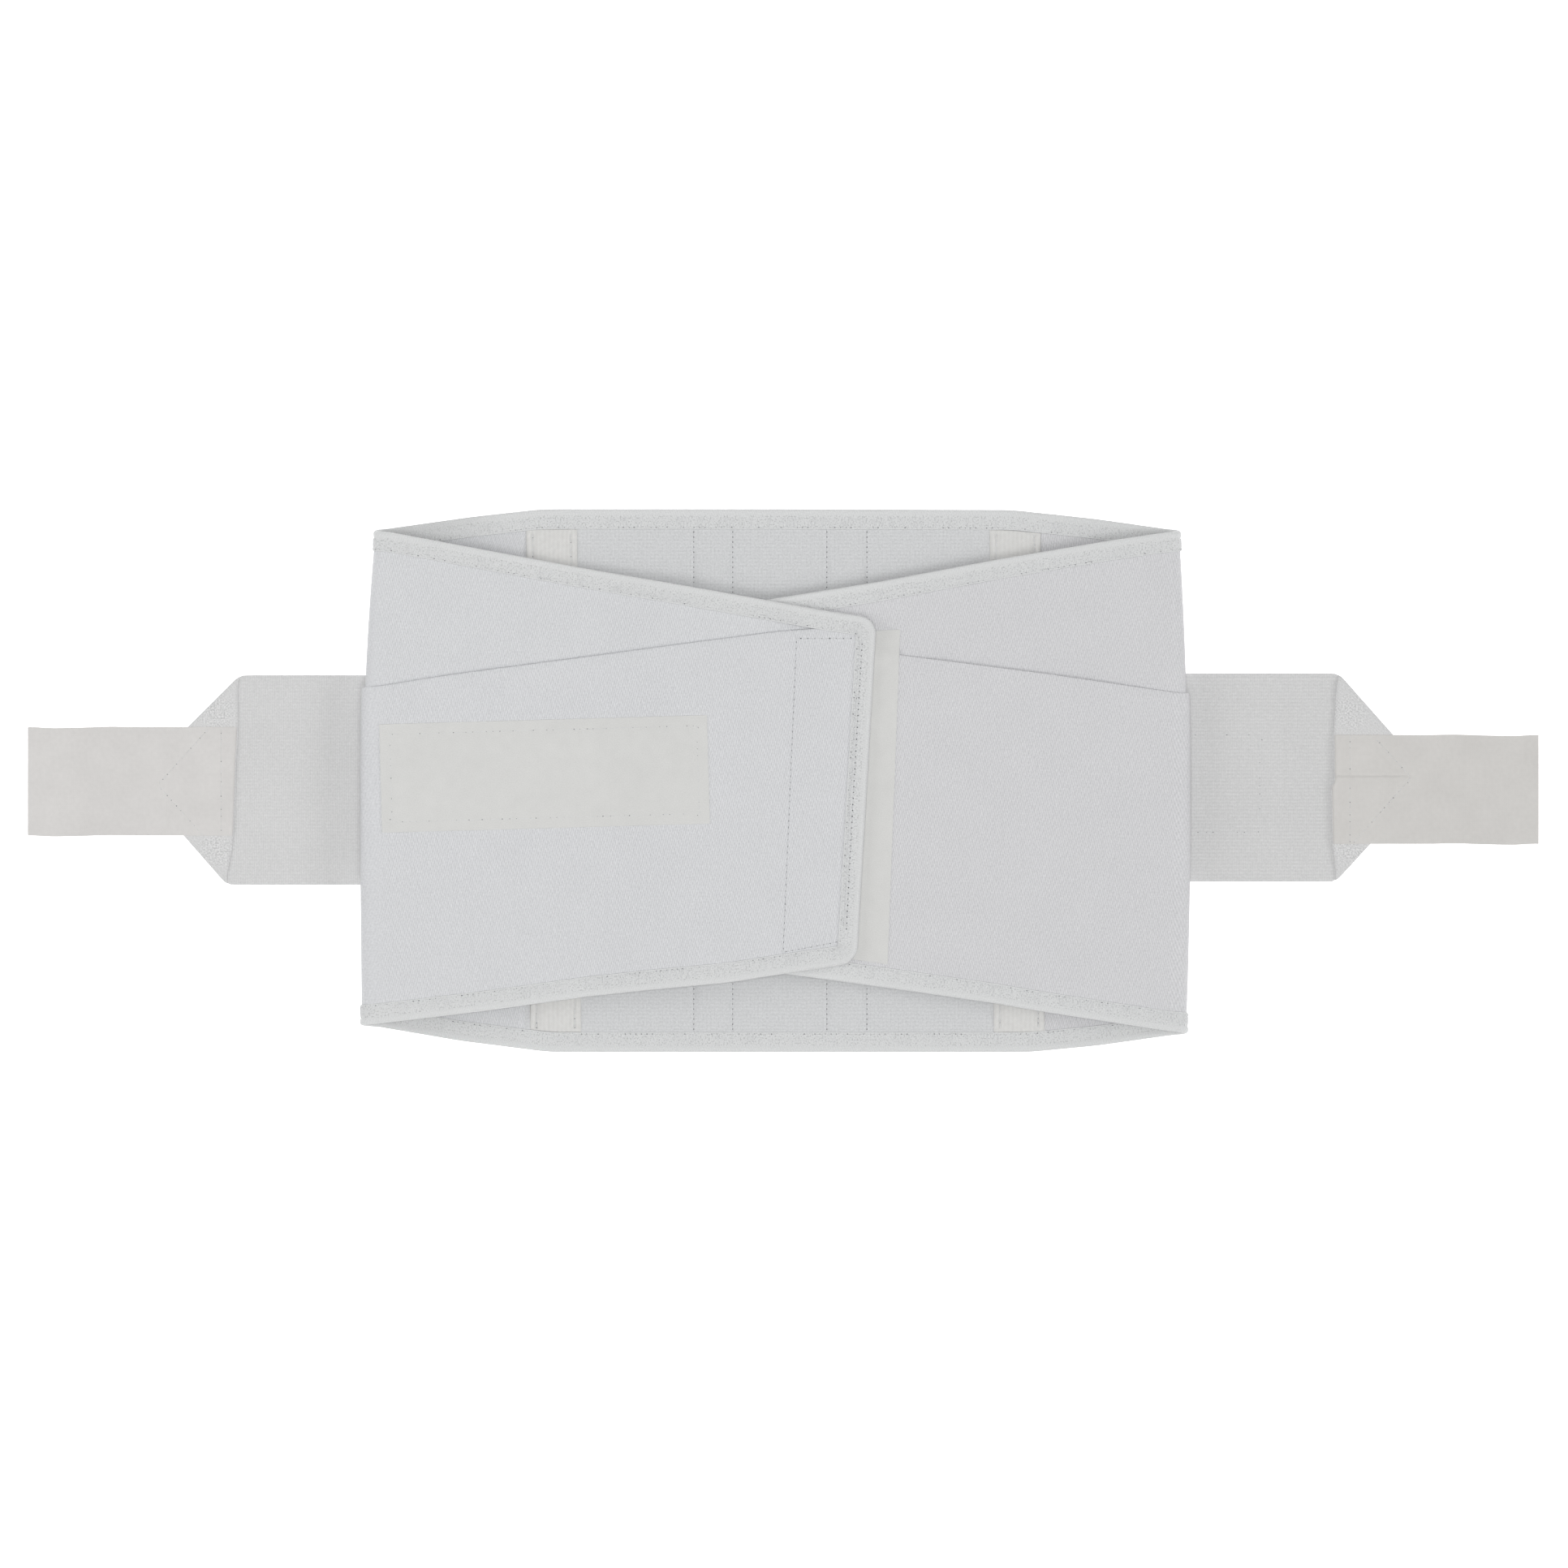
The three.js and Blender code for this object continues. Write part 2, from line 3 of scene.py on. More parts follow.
import bpy
import numpy as np
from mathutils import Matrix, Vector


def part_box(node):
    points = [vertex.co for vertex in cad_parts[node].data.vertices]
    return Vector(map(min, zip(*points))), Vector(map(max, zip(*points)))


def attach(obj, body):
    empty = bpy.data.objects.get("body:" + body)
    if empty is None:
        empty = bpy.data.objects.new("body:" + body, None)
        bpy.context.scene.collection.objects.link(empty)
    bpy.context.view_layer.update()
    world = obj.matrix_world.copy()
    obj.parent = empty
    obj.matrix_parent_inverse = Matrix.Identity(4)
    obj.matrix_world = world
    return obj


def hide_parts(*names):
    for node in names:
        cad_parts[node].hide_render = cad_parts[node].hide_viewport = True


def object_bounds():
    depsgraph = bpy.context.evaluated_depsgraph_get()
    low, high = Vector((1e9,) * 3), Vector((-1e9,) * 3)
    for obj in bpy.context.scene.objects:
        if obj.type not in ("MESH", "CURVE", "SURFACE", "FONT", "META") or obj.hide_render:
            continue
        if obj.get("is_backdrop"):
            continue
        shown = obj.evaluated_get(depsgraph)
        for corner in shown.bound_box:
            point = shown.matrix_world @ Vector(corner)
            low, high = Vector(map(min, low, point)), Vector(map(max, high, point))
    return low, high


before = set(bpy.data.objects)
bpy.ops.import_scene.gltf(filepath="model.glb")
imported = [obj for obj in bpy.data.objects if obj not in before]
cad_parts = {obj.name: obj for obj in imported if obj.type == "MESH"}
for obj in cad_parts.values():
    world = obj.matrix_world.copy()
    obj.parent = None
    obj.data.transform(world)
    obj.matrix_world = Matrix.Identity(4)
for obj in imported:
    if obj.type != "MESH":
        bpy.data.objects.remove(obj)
cad_low, cad_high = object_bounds()


# Back panel
# The part over the lower back: two layers of fine white mesh cloth, quilted along four lines that make
# two channels with a flat stay in each. The side bands and the binding are sewn to its edges.
MM = 0.001
PANEL = 3.1
EDGE_INSET = 1.1
SEAM_RIM = 0.05
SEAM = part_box("back_panel")[1].x / MM
PANEL_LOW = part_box("back_panel")[0].z / MM
PANEL_TOP = PANEL_LOW + PANEL
BACK_EDGES = {
    "left": {
        "top": [[0, 130.4], [116, 130.4], [150, 126.6], [189, 121.1]],
        "bottom": [[0, -130.4], [112, -130.4], [155, -125], [193, -118.5]],
    },
    "right": {
        "top": [[0, 130.4], [110, 130], [150, 125.7], [183, 121]],
        "bottom": [[0, -130.4], [118, -130.4], [150, -127.4], [185, -122.5]],
    },
}
STAY_CHANNELS = [[-42.9, -24.2], [21, 40.2]]
STAY_BULGE = 0.8
STAY_ENDS = [106, 120]
STAY_ROUNDING = 0.7
QUILT_DEPTH = 0.35
QUILT_WIDTH = 1.3
QUILT_COLUMNS = np.linspace(-1.6, 1.6, 9)
PANEL_COLUMNS = 84
PANEL_ROWS = 60
WARP_PITCH = 1.92
WEFT_PITCH = 1.78
CORNER_EASING = (-4.5, -1.5, 1.5, 4.5)
RIM_ROWS = np.array([0, 0.1, 0.4, 1.0])
CUT_EDGE = math.radians(50)


def smoothstep(low, high, value):
    share = np.clip((value - low) / (high - low), 0, 1)
    return share * share * (3 - 2 * share)


def edge_y(rows, distance):
    """Height of an edge at a distance out from the middle, with its corners eased."""
    u, y = np.array(sorted(rows), float).T
    first = (y[1] - y[0]) / (u[1] - u[0])
    last = (y[-1] - y[-2]) / (u[-1] - u[-2])
    heights = []
    for shift in CORNER_EASING:
        at = np.asarray(distance, float) + shift
        beyond = first * np.minimum(at - u[0], 0) + last * np.maximum(at - u[-1], 0)
        heights.append(np.interp(at, u, y) + beyond)
    return np.mean(heights, axis=0)


def rows_between(low, high, count, half):
    """Rows from one edge to the other, closer where the cut edge is rounded, and their rim distances."""
    low = np.asarray(low, float)[..., None]
    high = np.asarray(high, float)[..., None]
    near = half * RIM_ROWS
    share = np.linspace(0, 1, count + 1)[1:-1]
    middle = low + half + (high - low - 2 * half) * share
    rows = np.concatenate([low + near, middle, high - near[::-1]], -1)
    return rows, np.minimum(rows - low, high - rows)


def rounded(rim_distance, half):
    """Half thickness of a cloth near its rim, which is rounded."""
    near = np.clip(rim_distance / half, 0, 1)
    return half * np.sqrt(1 - (1 - near) ** 2)


def mesh_piece(name, points, faces, weave, finish):
    """Object from points in millimetres and faces, with each corner's place in the weave as its UV."""
    mesh = bpy.data.meshes.new(name)
    mesh.from_pydata((points * MM).tolist(), [], faces.tolist())
    mesh.uv_layers.new(name="weave").data.foreach_set("uv", weave.astype(np.float32).ravel())
    mesh.materials.append(finish)
    mesh.update()
    mesh.polygons.foreach_set("use_smooth", np.ones(len(faces), bool))
    mesh.set_sharp_from_angle(angle=CUT_EDGE)
    piece = bpy.data.objects.new(name, mesh)
    bpy.context.scene.collection.objects.link(piece)
    return piece


def grid_quads(grid):
    corners = [grid[:-1, :-1], grid[1:, :-1], grid[1:, 1:], grid[:-1, 1:]]
    return np.stack(corners, -1).reshape(-1, 4)


def closed_sheet(name, lower, upper, weave, finish):
    """Thin closed body between a lower and an upper grid of points, which meet all round their rim."""
    top = np.arange(upper[..., 0].size).reshape(upper.shape[:2])
    inside = np.zeros(top.shape, bool)
    inside[1:-1, 1:-1] = True
    bottom = top.copy()
    bottom[inside] = top.size + np.arange(inside.sum())
    points = np.concatenate([upper.reshape(-1, 3), lower[inside]])
    places = np.concatenate([weave.reshape(-1, 2), weave[inside]])
    faces = np.concatenate([grid_quads(top), grid_quads(bottom)[:, ::-1]])
    across = np.cross(upper[1:, :-1] - upper[:-1, :-1], upper[:-1, 1:] - upper[:-1, :-1])
    if np.sum(across * (upper - lower)[:-1, :-1]) < 0:
        faces = faces[:, ::-1]
    return mesh_piece(name, points, faces, places[faces], finish)


class Shade:
    """A socket in a node tree. Arithmetic on it adds Math nodes, and node() adds any other node."""

    def __init__(self, tree, socket=None):
        self.tree = tree
        self.socket = socket

    def node(self, kind, settings=None, inputs=None, output=0):
        made = self.tree.nodes.new(kind)
        for name, value in (settings or {}).items():
            setattr(made, name, value)
        for key, value in (inputs or {}).items():
            if isinstance(value, Shade):
                self.tree.links.new(value.socket, made.inputs[key])
            else:
                made.inputs[key].default_value = value
        return Shade(self.tree, made.outputs[output])

    def math(self, operation, first, second=0.0):
        return self.node("ShaderNodeMath", {"operation": operation}, {0: first, 1: second})

    def __add__(self, other):
        return self.math("ADD", self, other)

    def __radd__(self, other):
        return self.math("ADD", other, self)

    def __sub__(self, other):
        return self.math("SUBTRACT", self, other)

    def __rsub__(self, other):
        return self.math("SUBTRACT", other, self)

    def __mul__(self, other):
        return self.math("MULTIPLY", self, other)

    def __rmul__(self, other):
        return self.math("MULTIPLY", other, self)

    def __truediv__(self, other):
        return self.math("DIVIDE", self, other)


def display_colour(red, green, blue):
    """Linear colour, with alpha, of a colour on the screen from 0 to 255."""
    linear = [((value / 255 + 0.055) / 1.055) ** 2.4 for value in (red, green, blue)]
    return (*linear, 1.0)


def wave(phase):
    """Rises from 0 to 1 and falls back as the phase grows by 1."""
    return 0.5 - 0.5 * phase.math("COSINE", phase * math.tau)


def patches(weave, size, detail=2.0):
    """Soft uneven patches of about a size in millimetres, from 0 to 1."""
    inputs = {"Vector": weave, "Scale": 1 / size, "Detail": detail}
    return weave.node("ShaderNodeTexNoise", {"noise_dimensions": "2D"}, inputs)


def uneven(weave, size, detail=2.0):
    """The same patches about the middle of a finish, from -0.5 to 0.5."""
    return patches(weave, size, detail) - 0.5


def ramp(value, low, high):
    """Rises smoothly from 0 to 1 as a value goes from low to high, which may be the smaller one."""
    inputs = {0: value, 1: low, 2: high}
    return value.node("ShaderNodeMapRange", {"interpolation_type": "SMOOTHSTEP"}, inputs)


def start_finish(name, roughness, sheen):
    """New cloth finish, with the weave's coordinates in millimetres as sockets."""
    material = bpy.data.materials.new(name)
    material.use_nodes = True
    shader = material.node_tree.nodes["Principled BSDF"]
    shader.inputs["Roughness"].default_value = roughness
    shader.inputs["Specular IOR Level"].default_value = 0.2
    shader.inputs["Sheen Weight"].default_value = sheen
    weave = Shade(material.node_tree).node("ShaderNodeUVMap", {"uv_map": "weave"})
    x = weave.node("ShaderNodeSeparateXYZ", inputs={0: weave}, output=0)
    y = weave.node("ShaderNodeSeparateXYZ", inputs={0: weave}, output=1)
    return material, weave, x, y


def end_finish(material, tint, dark, light, height, depth):
    """Colours a finish from dark to light by the tint, and raises it by the height times a depth."""
    tree = material.node_tree
    shader = tree.nodes["Principled BSDF"]
    # A Mix node's colours are inputs 6 and 7, and its mixed colour is output 2.
    colour = tint.node("ShaderNodeMix", {"data_type": "RGBA"}, {0: tint, 6: dark, 7: light}, 2)
    bump = height.node("ShaderNodeBump", inputs={"Distance": depth * MM, "Height": height})
    tree.links.new(colour.socket, shader.inputs["Base Color"])
    tree.links.new(bump.socket, shader.inputs["Normal"])
    return material


def back_mesh_finish():
    material, weave, x, y = start_finish("back_mesh", 0.9, 0.1)
    column = x / WARP_PITCH + 0.3 * patches(weave, 5)
    warp = 0.5 * wave(column) + 0.5 * wave(2 * column)
    weft = wave(y / WEFT_PITCH + 0.3 * patches(weave, 5))
    slubs = 1.05 * uneven(weave, 0.9) + 0.15 * uneven(weave, 5)
    tint = 0.47 + 0.12 * warp + 0.14 * weft + slubs
    dark = display_colour(188, 189, 190)
    light = display_colour(218, 219, 220)
    return end_finish(material, tint, dark, light, warp + weft - warp * weft, 0.06)


def panel_top(x, y):
    """Height of the panel's wearer side, with the stays' bulges and the sunk lines of stitching."""
    height = np.zeros(np.broadcast(x, y).shape)
    for start, end in STAY_CHANNELS:
        share = np.clip((x - start) / (end - start), 0, 1)
        height = height + STAY_BULGE * np.sin(np.pi * share) ** STAY_ROUNDING
        for line in (start, end):
            height = height - QUILT_DEPTH * np.exp(-((x - line) / QUILT_WIDTH) ** 2)
    return PANEL_TOP + height * (1 - smoothstep(*STAY_ENDS, np.abs(y)))


def panel_columns():
    lines = np.array(STAY_CHANNELS).ravel()
    fine = (lines[:, None] + QUILT_WIDTH * QUILT_COLUMNS).ravel()
    plain, _ = rows_between(-SEAM, SEAM, PANEL_COLUMNS, SEAM_RIM)
    return np.unique(np.concatenate([plain, fine]))


def back_panel():
    columns = panel_columns()

    def outline(edge):
        left, right = (edge_y(BACK_EDGES[word][edge], np.abs(columns)) for word in ("left", "right"))
        return np.where(columns < 0, left, right)

    low, high = outline("bottom") + EDGE_INSET, outline("top") - EDGE_INSET
    y, rim = rows_between(low, high, PANEL_ROWS, PANEL / 2)
    x = np.broadcast_to(columns[:, None], y.shape)
    share = np.minimum(rounded(rim / (PANEL / 2), 1), rounded((SEAM - np.abs(x)) / SEAM_RIM, 1))
    middle = PANEL_LOW + PANEL / 2
    upper = np.stack([x, y, middle + (panel_top(x, y) - middle) * share], -1)
    lower = np.stack([x, y, middle - PANEL / 2 * share], -1)
    return closed_sheet("mesh_back", lower, upper, np.stack([x, y], -1), back_mesh_finish())


mesh_back = back_panel()
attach(mesh_back, "root")
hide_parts("back_panel")


# Stay casings
# Cream twill tapes sewn over the two side seams on the wearer's side. Each is stitched along both of its
# edges, and the stay inside rounds it up.
SEAT = 0.02
BINDING_DEPTH = 9.7
CASING_PUFF = 0.9
CASING_SHIFT = 1.1
CASING_LEAN = -0.008
CASING_TUCK = 0.35
CASING_TUCK_REACH = 9
CASING_HEM = 3.1
CASING_GROOVE = 0.35
CASING_GROOVE_WIDTH = 0.7
CASING_RIM = 0.4
CASING_COLUMNS = 40
CASING_ROWS = 70
CASING_RIB = 2.1
CASING_TWILL = 0.9
CASING_TWILL_LEAN = 0.7


def casing_finish():
    material, weave, x, y = start_finish("casing_twill", 0.85, 0.1)
    rib = wave(x / CASING_RIB)
    float_thread = wave((y + CASING_TWILL_LEAN * x) / CASING_TWILL)
    tint = 0.4 + 0.15 * rib + 0.12 * float_thread + 0.5 * uneven(weave, 2)
    dark = display_colour(199, 198, 196)
    light = display_colour(226, 226, 224)
    return end_finish(material, tint, dark, light, 0.6 * rib + 0.4 * float_thread, 0.08)


CASING_FINISH = casing_finish()


def casing_top(node):
    """Function of x and y for the height of a casing's upper face."""
    low, high = (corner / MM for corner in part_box(node))
    middle = (low.x + high.x) / 2 + CASING_SHIFT
    hem = (high.x - low.x) / 2 - CASING_HEM

    def height(x, y):
        out = np.abs(x - CASING_LEAN * y - middle)
        puff = np.sqrt(np.clip(1 - (out / hem) ** 2, 0, 1))
        groove = CASING_GROOVE * np.exp(-((out - hem) / CASING_GROOVE_WIDTH) ** 2)
        return high.z + CASING_PUFF * puff - groove

    return height


def stay_casing(name, node, edges):
    low, high = (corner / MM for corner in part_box(node))
    base = PANEL_TOP + SEAT
    half = (high.z - base) / 2
    x, rim_x = rows_between(low.x + CASING_SHIFT, high.x + CASING_SHIFT, CASING_COLUMNS, half)
    hem_low = edge_y(edges["bottom"], np.abs(x)) + BINDING_DEPTH + SEAT
    hem_high = edge_y(edges["top"], np.abs(x)) - BINDING_DEPTH - SEAT
    y, rim_y = rows_between(hem_low, hem_high, CASING_ROWS, half)
    x = x[:, None] + CASING_LEAN * y
    share = rounded(np.minimum(rim_x[:, None], rim_y), half) / half
    tucked = CASING_TUCK + (1 - CASING_TUCK) * smoothstep(0, CASING_TUCK_REACH, rim_y)
    rise = (casing_top(node)(x, y) - base) * tucked * (CASING_RIM + (1 - CASING_RIM) * share)
    upper = np.stack([x, y, base + rise], -1)
    lower = np.stack([x, y, base + CASING_RIM * half * tucked * (1 - share)], -1)
    return closed_sheet(name, lower, upper, np.stack([x - CASING_LEAN * y, y], -1), CASING_FINISH)


for word in ("left", "right"):
    casing = stay_casing(f"casing_tape_{word}", f"stay_casing_{word}", BACK_EDGES[word])
    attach(casing, "root")
    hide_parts(f"stay_casing_{word}")


# Back stitching
# White thread that quilts the two layers of the back along the stay channels, and holds the casings down
# along both of their edges. Each needle hole shows as a small dark bead: painted shade for the hole.
STITCH_SHARE = 0.72
STITCH_SEED = 7
THREAD_PLY = 0.8
PLY_SHADE = 0.9
THREAD_SIDES = 5
THREAD_STEPS = 4
HOLE_DEPTH = 0.6
PATH_POINTS = 61
CHANNEL_STITCHES = {"pitch": 2.4, "hole": 0.27, "stretch": 2.6, "least": 0.8, "holes": "deep"}
CHANNEL_STITCH_REACH = 120.5
CASING_STITCHES = {"pitch": 2.2, "hole": 0.35, "stretch": 1.4, "least": 0.1}


def plain_finish(name, colour, roughness):
    material, weave, _, _ = start_finish(name, roughness, 0.0)
    ply = patches(weave, THREAD_PLY)
    darker = (*(PLY_SHADE * value for value in colour[:3]), 1.0)
    return end_finish(material, ply, darker, colour, ply, 0.02)


THREAD_FINISH = plain_finish("thread", display_colour(218, 219, 220), 0.7)
# Dark colours of the needle-hole beads: painted shade for the holes.
HOLE_FINISHES = {
    "deep": plain_finish("deep_needle_hole_shade", display_colour(104, 105, 107), 0.9),
    "plain": plain_finish("needle_hole_shade", display_colour(146, 147, 149), 0.9),
}


def thread_arc(tree_input, start, end, rise):
    """Thread that dips into the cloth at both ends, as a tube in a stitch's own axes."""
    middle = start.node("ShaderNodeVectorMath", {"operation": "ADD"}, {0: start, 1: end})
    middle = middle.node("ShaderNodeVectorMath", {"operation": "SCALE"}, {0: middle, "Scale": 0.5})
    lifted = rise.node("ShaderNodeCombineXYZ", inputs={2: rise})
    middle = middle.node("ShaderNodeVectorMath", {"operation": "ADD"}, {0: middle, 1: lifted})
    bend = {"Resolution": THREAD_STEPS, "Start": start, "Middle": middle, "End": end}
    line = start.node("GeometryNodeCurveQuadraticBezier", inputs=bend)
    section = {"Resolution": THREAD_SIDES, "Radius": tree_input("Thread")}
    ring = start.node("GeometryNodeCurvePrimitiveCircle", inputs=section)
    return line.node("GeometryNodeCurveToMesh", inputs={0: line, 1: ring, "Fill Caps": True})


def stitch_tree(name, zigzag):
    """Node tree that sews along a path: straight stitches with needle holes, or a zigzag thread."""
    tree = bpy.data.node_groups.new(name, "GeometryNodeTree")
    tree.interface.new_socket("Path", in_out="INPUT", socket_type="NodeSocketGeometry")
    for size in ("Pitch", "Length", "Width", "Rise", "Thread", "Hole", "Hole Stretch", "Least Size"):
        tree.interface.new_socket(size, in_out="INPUT", socket_type="NodeSocketFloat")
    for finish in ("Thread Finish", "Hole Finish"):
        tree.interface.new_socket(finish, in_out="INPUT", socket_type="NodeSocketMaterial")
    tree.interface.new_socket("Stitches", in_out="OUTPUT", socket_type="NodeSocketGeometry")
    entry = tree.nodes.new("NodeGroupInput")

    def given(socket):
        return Shade(tree, entry.outputs[socket])

    def vector(x, y, z):
        return given("Pitch").node("ShaderNodeCombineXYZ", inputs={0: x, 1: y, 2: z})

    def along_path(stitch, finish, scale):
        inputs = {"Points": points, "Instance": stitch, "Rotation": turn, "Scale": scale}
        copies = stitch.node("GeometryNodeInstanceOnPoints", inputs=inputs)
        copies = copies.node("GeometryNodeRealizeInstances", inputs={0: copies})
        return copies.node("GeometryNodeSetMaterial", inputs={0: copies, "Material": given(finish)})

    curve = given("Path").node("GeometryNodeMeshToCurve", inputs={0: given("Path")})
    resample = {"Curve": curve, "Length": given("Pitch")}
    points = curve.node("GeometryNodeResampleCurve", {"mode": "LENGTH"}, resample)
    tangent = curve.node("GeometryNodeInputTangent")
    up = curve.node("GeometryNodeInputNamedAttribute", {"data_type": "FLOAT_VECTOR"}, {"Name": "up"})
    axes = {"primary_axis": "X", "secondary_axis": "Z"}
    turn = up.node("FunctionNodeAxesToRotation", axes, {"Primary Axis": tangent, "Secondary Axis": up})
    # A Random Value node's least and greatest numbers are inputs 2 and 3, and its number is output 1.
    chance = {2: given("Least Size"), 3: 1.0, "Seed": STITCH_SEED}
    varied = curve.node("FunctionNodeRandomValue", {"data_type": "FLOAT"}, chance, 1)
    reach = 0.5 * given("Length")
    side = 0.5 * given("Width")
    far = -1 * side
    back = -1 * reach
    if zigzag:
        crest = vector(0.0, side, 0.0)
        threads = [
            thread_arc(given, vector(back, far, 0.0), crest, given("Rise")),
            thread_arc(given, crest, vector(reach, far, 0.0), given("Rise")),
        ]
    else:
        threads = [thread_arc(given, vector(back, 0.0, 0.0), vector(reach, 0.0, 0.0), given("Rise"))]
    join = tree.nodes.new("GeometryNodeJoinGeometry")
    for thread in threads:
        sewing = along_path(thread, "Thread Finish", varied if zigzag else (1.0, 1.0, 1.0))
        tree.links.new(sewing.socket, join.inputs[0])
    if not zigzag:
        # A dark bead beside each stitch: painted shade for its needle hole.
        ball = {"Radius": given("Hole"), "Subdivisions": 1}
        bead = curve.node("GeometryNodeMeshIcoSphere", inputs=ball)
        between = vector(0.5 * given("Pitch"), 0.0, 0.0)
        shape = {"Translation": between, "Scale": vector(given("Hole Stretch"), 1.0, HOLE_DEPTH)}
        bead = bead.node("GeometryNodeTransform", inputs={0: bead, **shape})
        piercing = along_path(bead, "Hole Finish", varied)
        tree.links.new(piercing.socket, join.inputs[0])
    leave = tree.nodes.new("NodeGroupOutput")
    tree.links.new(join.outputs[0], leave.inputs[0])
    return tree


STRAIGHT_STITCH = stitch_tree("straight_stitch", False)
ZIGZAG_STITCH = stitch_tree("zigzag_stitch", True)


def sewn(
    name, tree, paths, pitch, width=0, rise=0.25, thread=0.2, hole=0.4, stretch=1, least=0.5, holes="plain"
):
    """Stitches along paths, each a pair of arrays: points in millimetres and outward directions."""
    edges = []
    count = 0
    for points, _ in paths:
        edges.extend((count + i, count + i + 1) for i in range(len(points) - 1))
        count += len(points)
    guide = bpy.data.meshes.new(f"{name}_guide")
    guide.from_pydata((np.concatenate([points for points, _ in paths]) * MM).tolist(), edges, [])
    ups = np.concatenate([up for _, up in paths]).astype(np.float32)
    guide.attributes.new("up", "FLOAT_VECTOR", "POINT").data.foreach_set("vector", ups.ravel())
    holder = bpy.data.objects.new(f"{name}_guide", guide)
    bpy.context.scene.collection.objects.link(holder)
    modifier = holder.modifiers.new("sewing", "NODES")
    modifier.node_group = tree
    sizes = {
        "Pitch": pitch * MM,
        "Length": (pitch if tree == ZIGZAG_STITCH else STITCH_SHARE * pitch) * MM,
        "Width": width * MM,
        "Rise": rise * MM,
        "Thread": thread * MM,
        "Hole": hole * MM,
        "Hole Stretch": stretch,
        "Least Size": least,
        "Thread Finish": THREAD_FINISH,
        "Hole Finish": HOLE_FINISHES[holes],
    }
    for socket in tree.interface.items_tree:
        if socket.in_out == "INPUT" and socket.name in sizes:
            modifier[socket.identifier] = sizes[socket.name]
    graph = bpy.context.evaluated_depsgraph_get()
    made = bpy.data.meshes.new_from_object(holder.evaluated_get(graph), depsgraph=graph)
    made.name = name
    made.polygons.foreach_set("use_smooth", np.ones(len(made.polygons), bool))
    holder.modifiers.remove(modifier)
    bpy.data.objects.remove(holder)
    bpy.data.meshes.remove(guide)
    stitches = bpy.data.objects.new(name, made)
    bpy.context.scene.collection.objects.link(stitches)
    return stitches


def flat_path(x, y, z, up=1.0):
    """Path over a level surface that faces up, or down at -1, with its outward directions."""
    points = np.stack(np.broadcast_arrays(x, y, z), -1).astype(float)
    return points, np.broadcast_to([0.0, 0.0, up], points.shape)


channel_paths = []
for line in np.array(STAY_CHANNELS).ravel():
    run = np.linspace(CHANNEL_STITCH_REACH, -CHANNEL_STITCH_REACH, PATH_POINTS)
    channel_paths.append(flat_path(line, run, panel_top(line, run)))
channel_stitches = sewn("channel_stitches", STRAIGHT_STITCH, channel_paths, **CHANNEL_STITCHES)
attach(channel_stitches, "root")

casing_paths = []
for word in ("left", "right"):
    low, high = (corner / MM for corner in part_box(f"stay_casing_{word}"))
    run = np.linspace(high.y, low.y, PATH_POINTS)
    for line in (low.x + CASING_HEM, high.x - CASING_HEM):
        across = line + CASING_SHIFT + CASING_LEAN * run
        casing_paths.append(flat_path(across, run, casing_top(f"stay_casing_{word}")(across, run)))
casing_stitches = sewn("casing_stitches", STRAIGHT_STITCH, casing_paths, **CASING_STITCHES)
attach(casing_stitches, "root")


# Side bands
# Four bands of white elastic twill, two on each side, sewn to the back's side seams. They run round the
# side folds to the front end, where the lower band of each side crosses over the upper one.
CLOTH = 1.4
GAP = 0.3
LAYER = CLOTH + GAP
SEAM_GAP = 0.02
FOLD_RADIUS = 6
FOLD_HEIGHT = PANEL_LOW + LAYER + CLOTH / 2 + FOLD_RADIUS
CLIMB_START = 94
CLIMB_END = 41
END_CORNER = 6.9
HALF_BACK_HEIGHT = 130.4
FOLD_SQUARE = 0.6
FOLD_POINTS = 721
SEAM_RAMP = [1, 12]
SEAM_CLEAR = 10
RIPPLES = [
    {"height": 0.4, "across": 31, "up": 47, "phase": 0},
    {"height": 0.3, "across": 53, "up": -29, "phase": 1.3},
]
RIPPLE_START = 45
LIFT_WIDTH = 9
BAND_STEPS = {"back": 14, "fold": 25, "front": 80}
BAND_ROWS = 34
FRONT_SHARE = 0.965
END_ARC = np.linspace(np.pi / 2, 0.5, 7)
FOLD_WEAVE = [188, 196, 210, 218]
# Reach of the painted shade from each fold corner, and the span over which it goes from the bottom edge's
# strength to the top edge's.
PAINTED_SHADE_REACH = [-70, -22]
PAINTED_SHADE_SPREAD = [-80, 80]
WALE_PITCH = 1.08
CROSS_PITCH = 1.78
WALE_RISE = 4.15
LEFT = {
    "sign": -1,
    "climb": 5.7,
    "fold": {"reach": 194.4, "top": 6.8, "bottom": 1.1},
    "end": {"at": -40.4, "lean": -0.0575},
    "shared": {"top": -6, "bottom": -24},
    # Strength of the painted shade deep in the fold corners, at the top and at the bottom.
    "gloom": {"top": 0.4, "bottom": 0.17},
    "top": {
        "back": BACK_EDGES["left"]["top"],
        "front": [[189, 119.2], [142, 110.4], [97, 102.1], [43, 92.7], [2, 85.4], [-21, 81.3], [-45, 77.8]],
    },
    "bottom": {
        "back": BACK_EDGES["left"]["bottom"],
        "front": [
            [193, -116.3], [142, -110.2], [97, -103.9], [64, -100.2], [25, -96.5], [2, -92.8], [-45, -86],
        ],
    },
    "lower_band_top": {
        "back": [[SEAM, 33], [194, 43.4]],
        "front": [[194, 45.3], [158, 51], [61, 63.8], [2, 71.6], [-14, 72.7], [-45, 75.5]],
    },
    "upper_band_bottom": {
        "back": [[SEAM, -32], [194, -40.3]],
        "front": [[194, -41.7], [-45, -75]],
    },
    "edge_lift": {"height": 0.5, "from": [20, 60], "to": [170, 194]},
    "twill": {"upper": -1, "lower": 1, "dark": (194, 195, 197), "light": (224, 225, 227)},
}
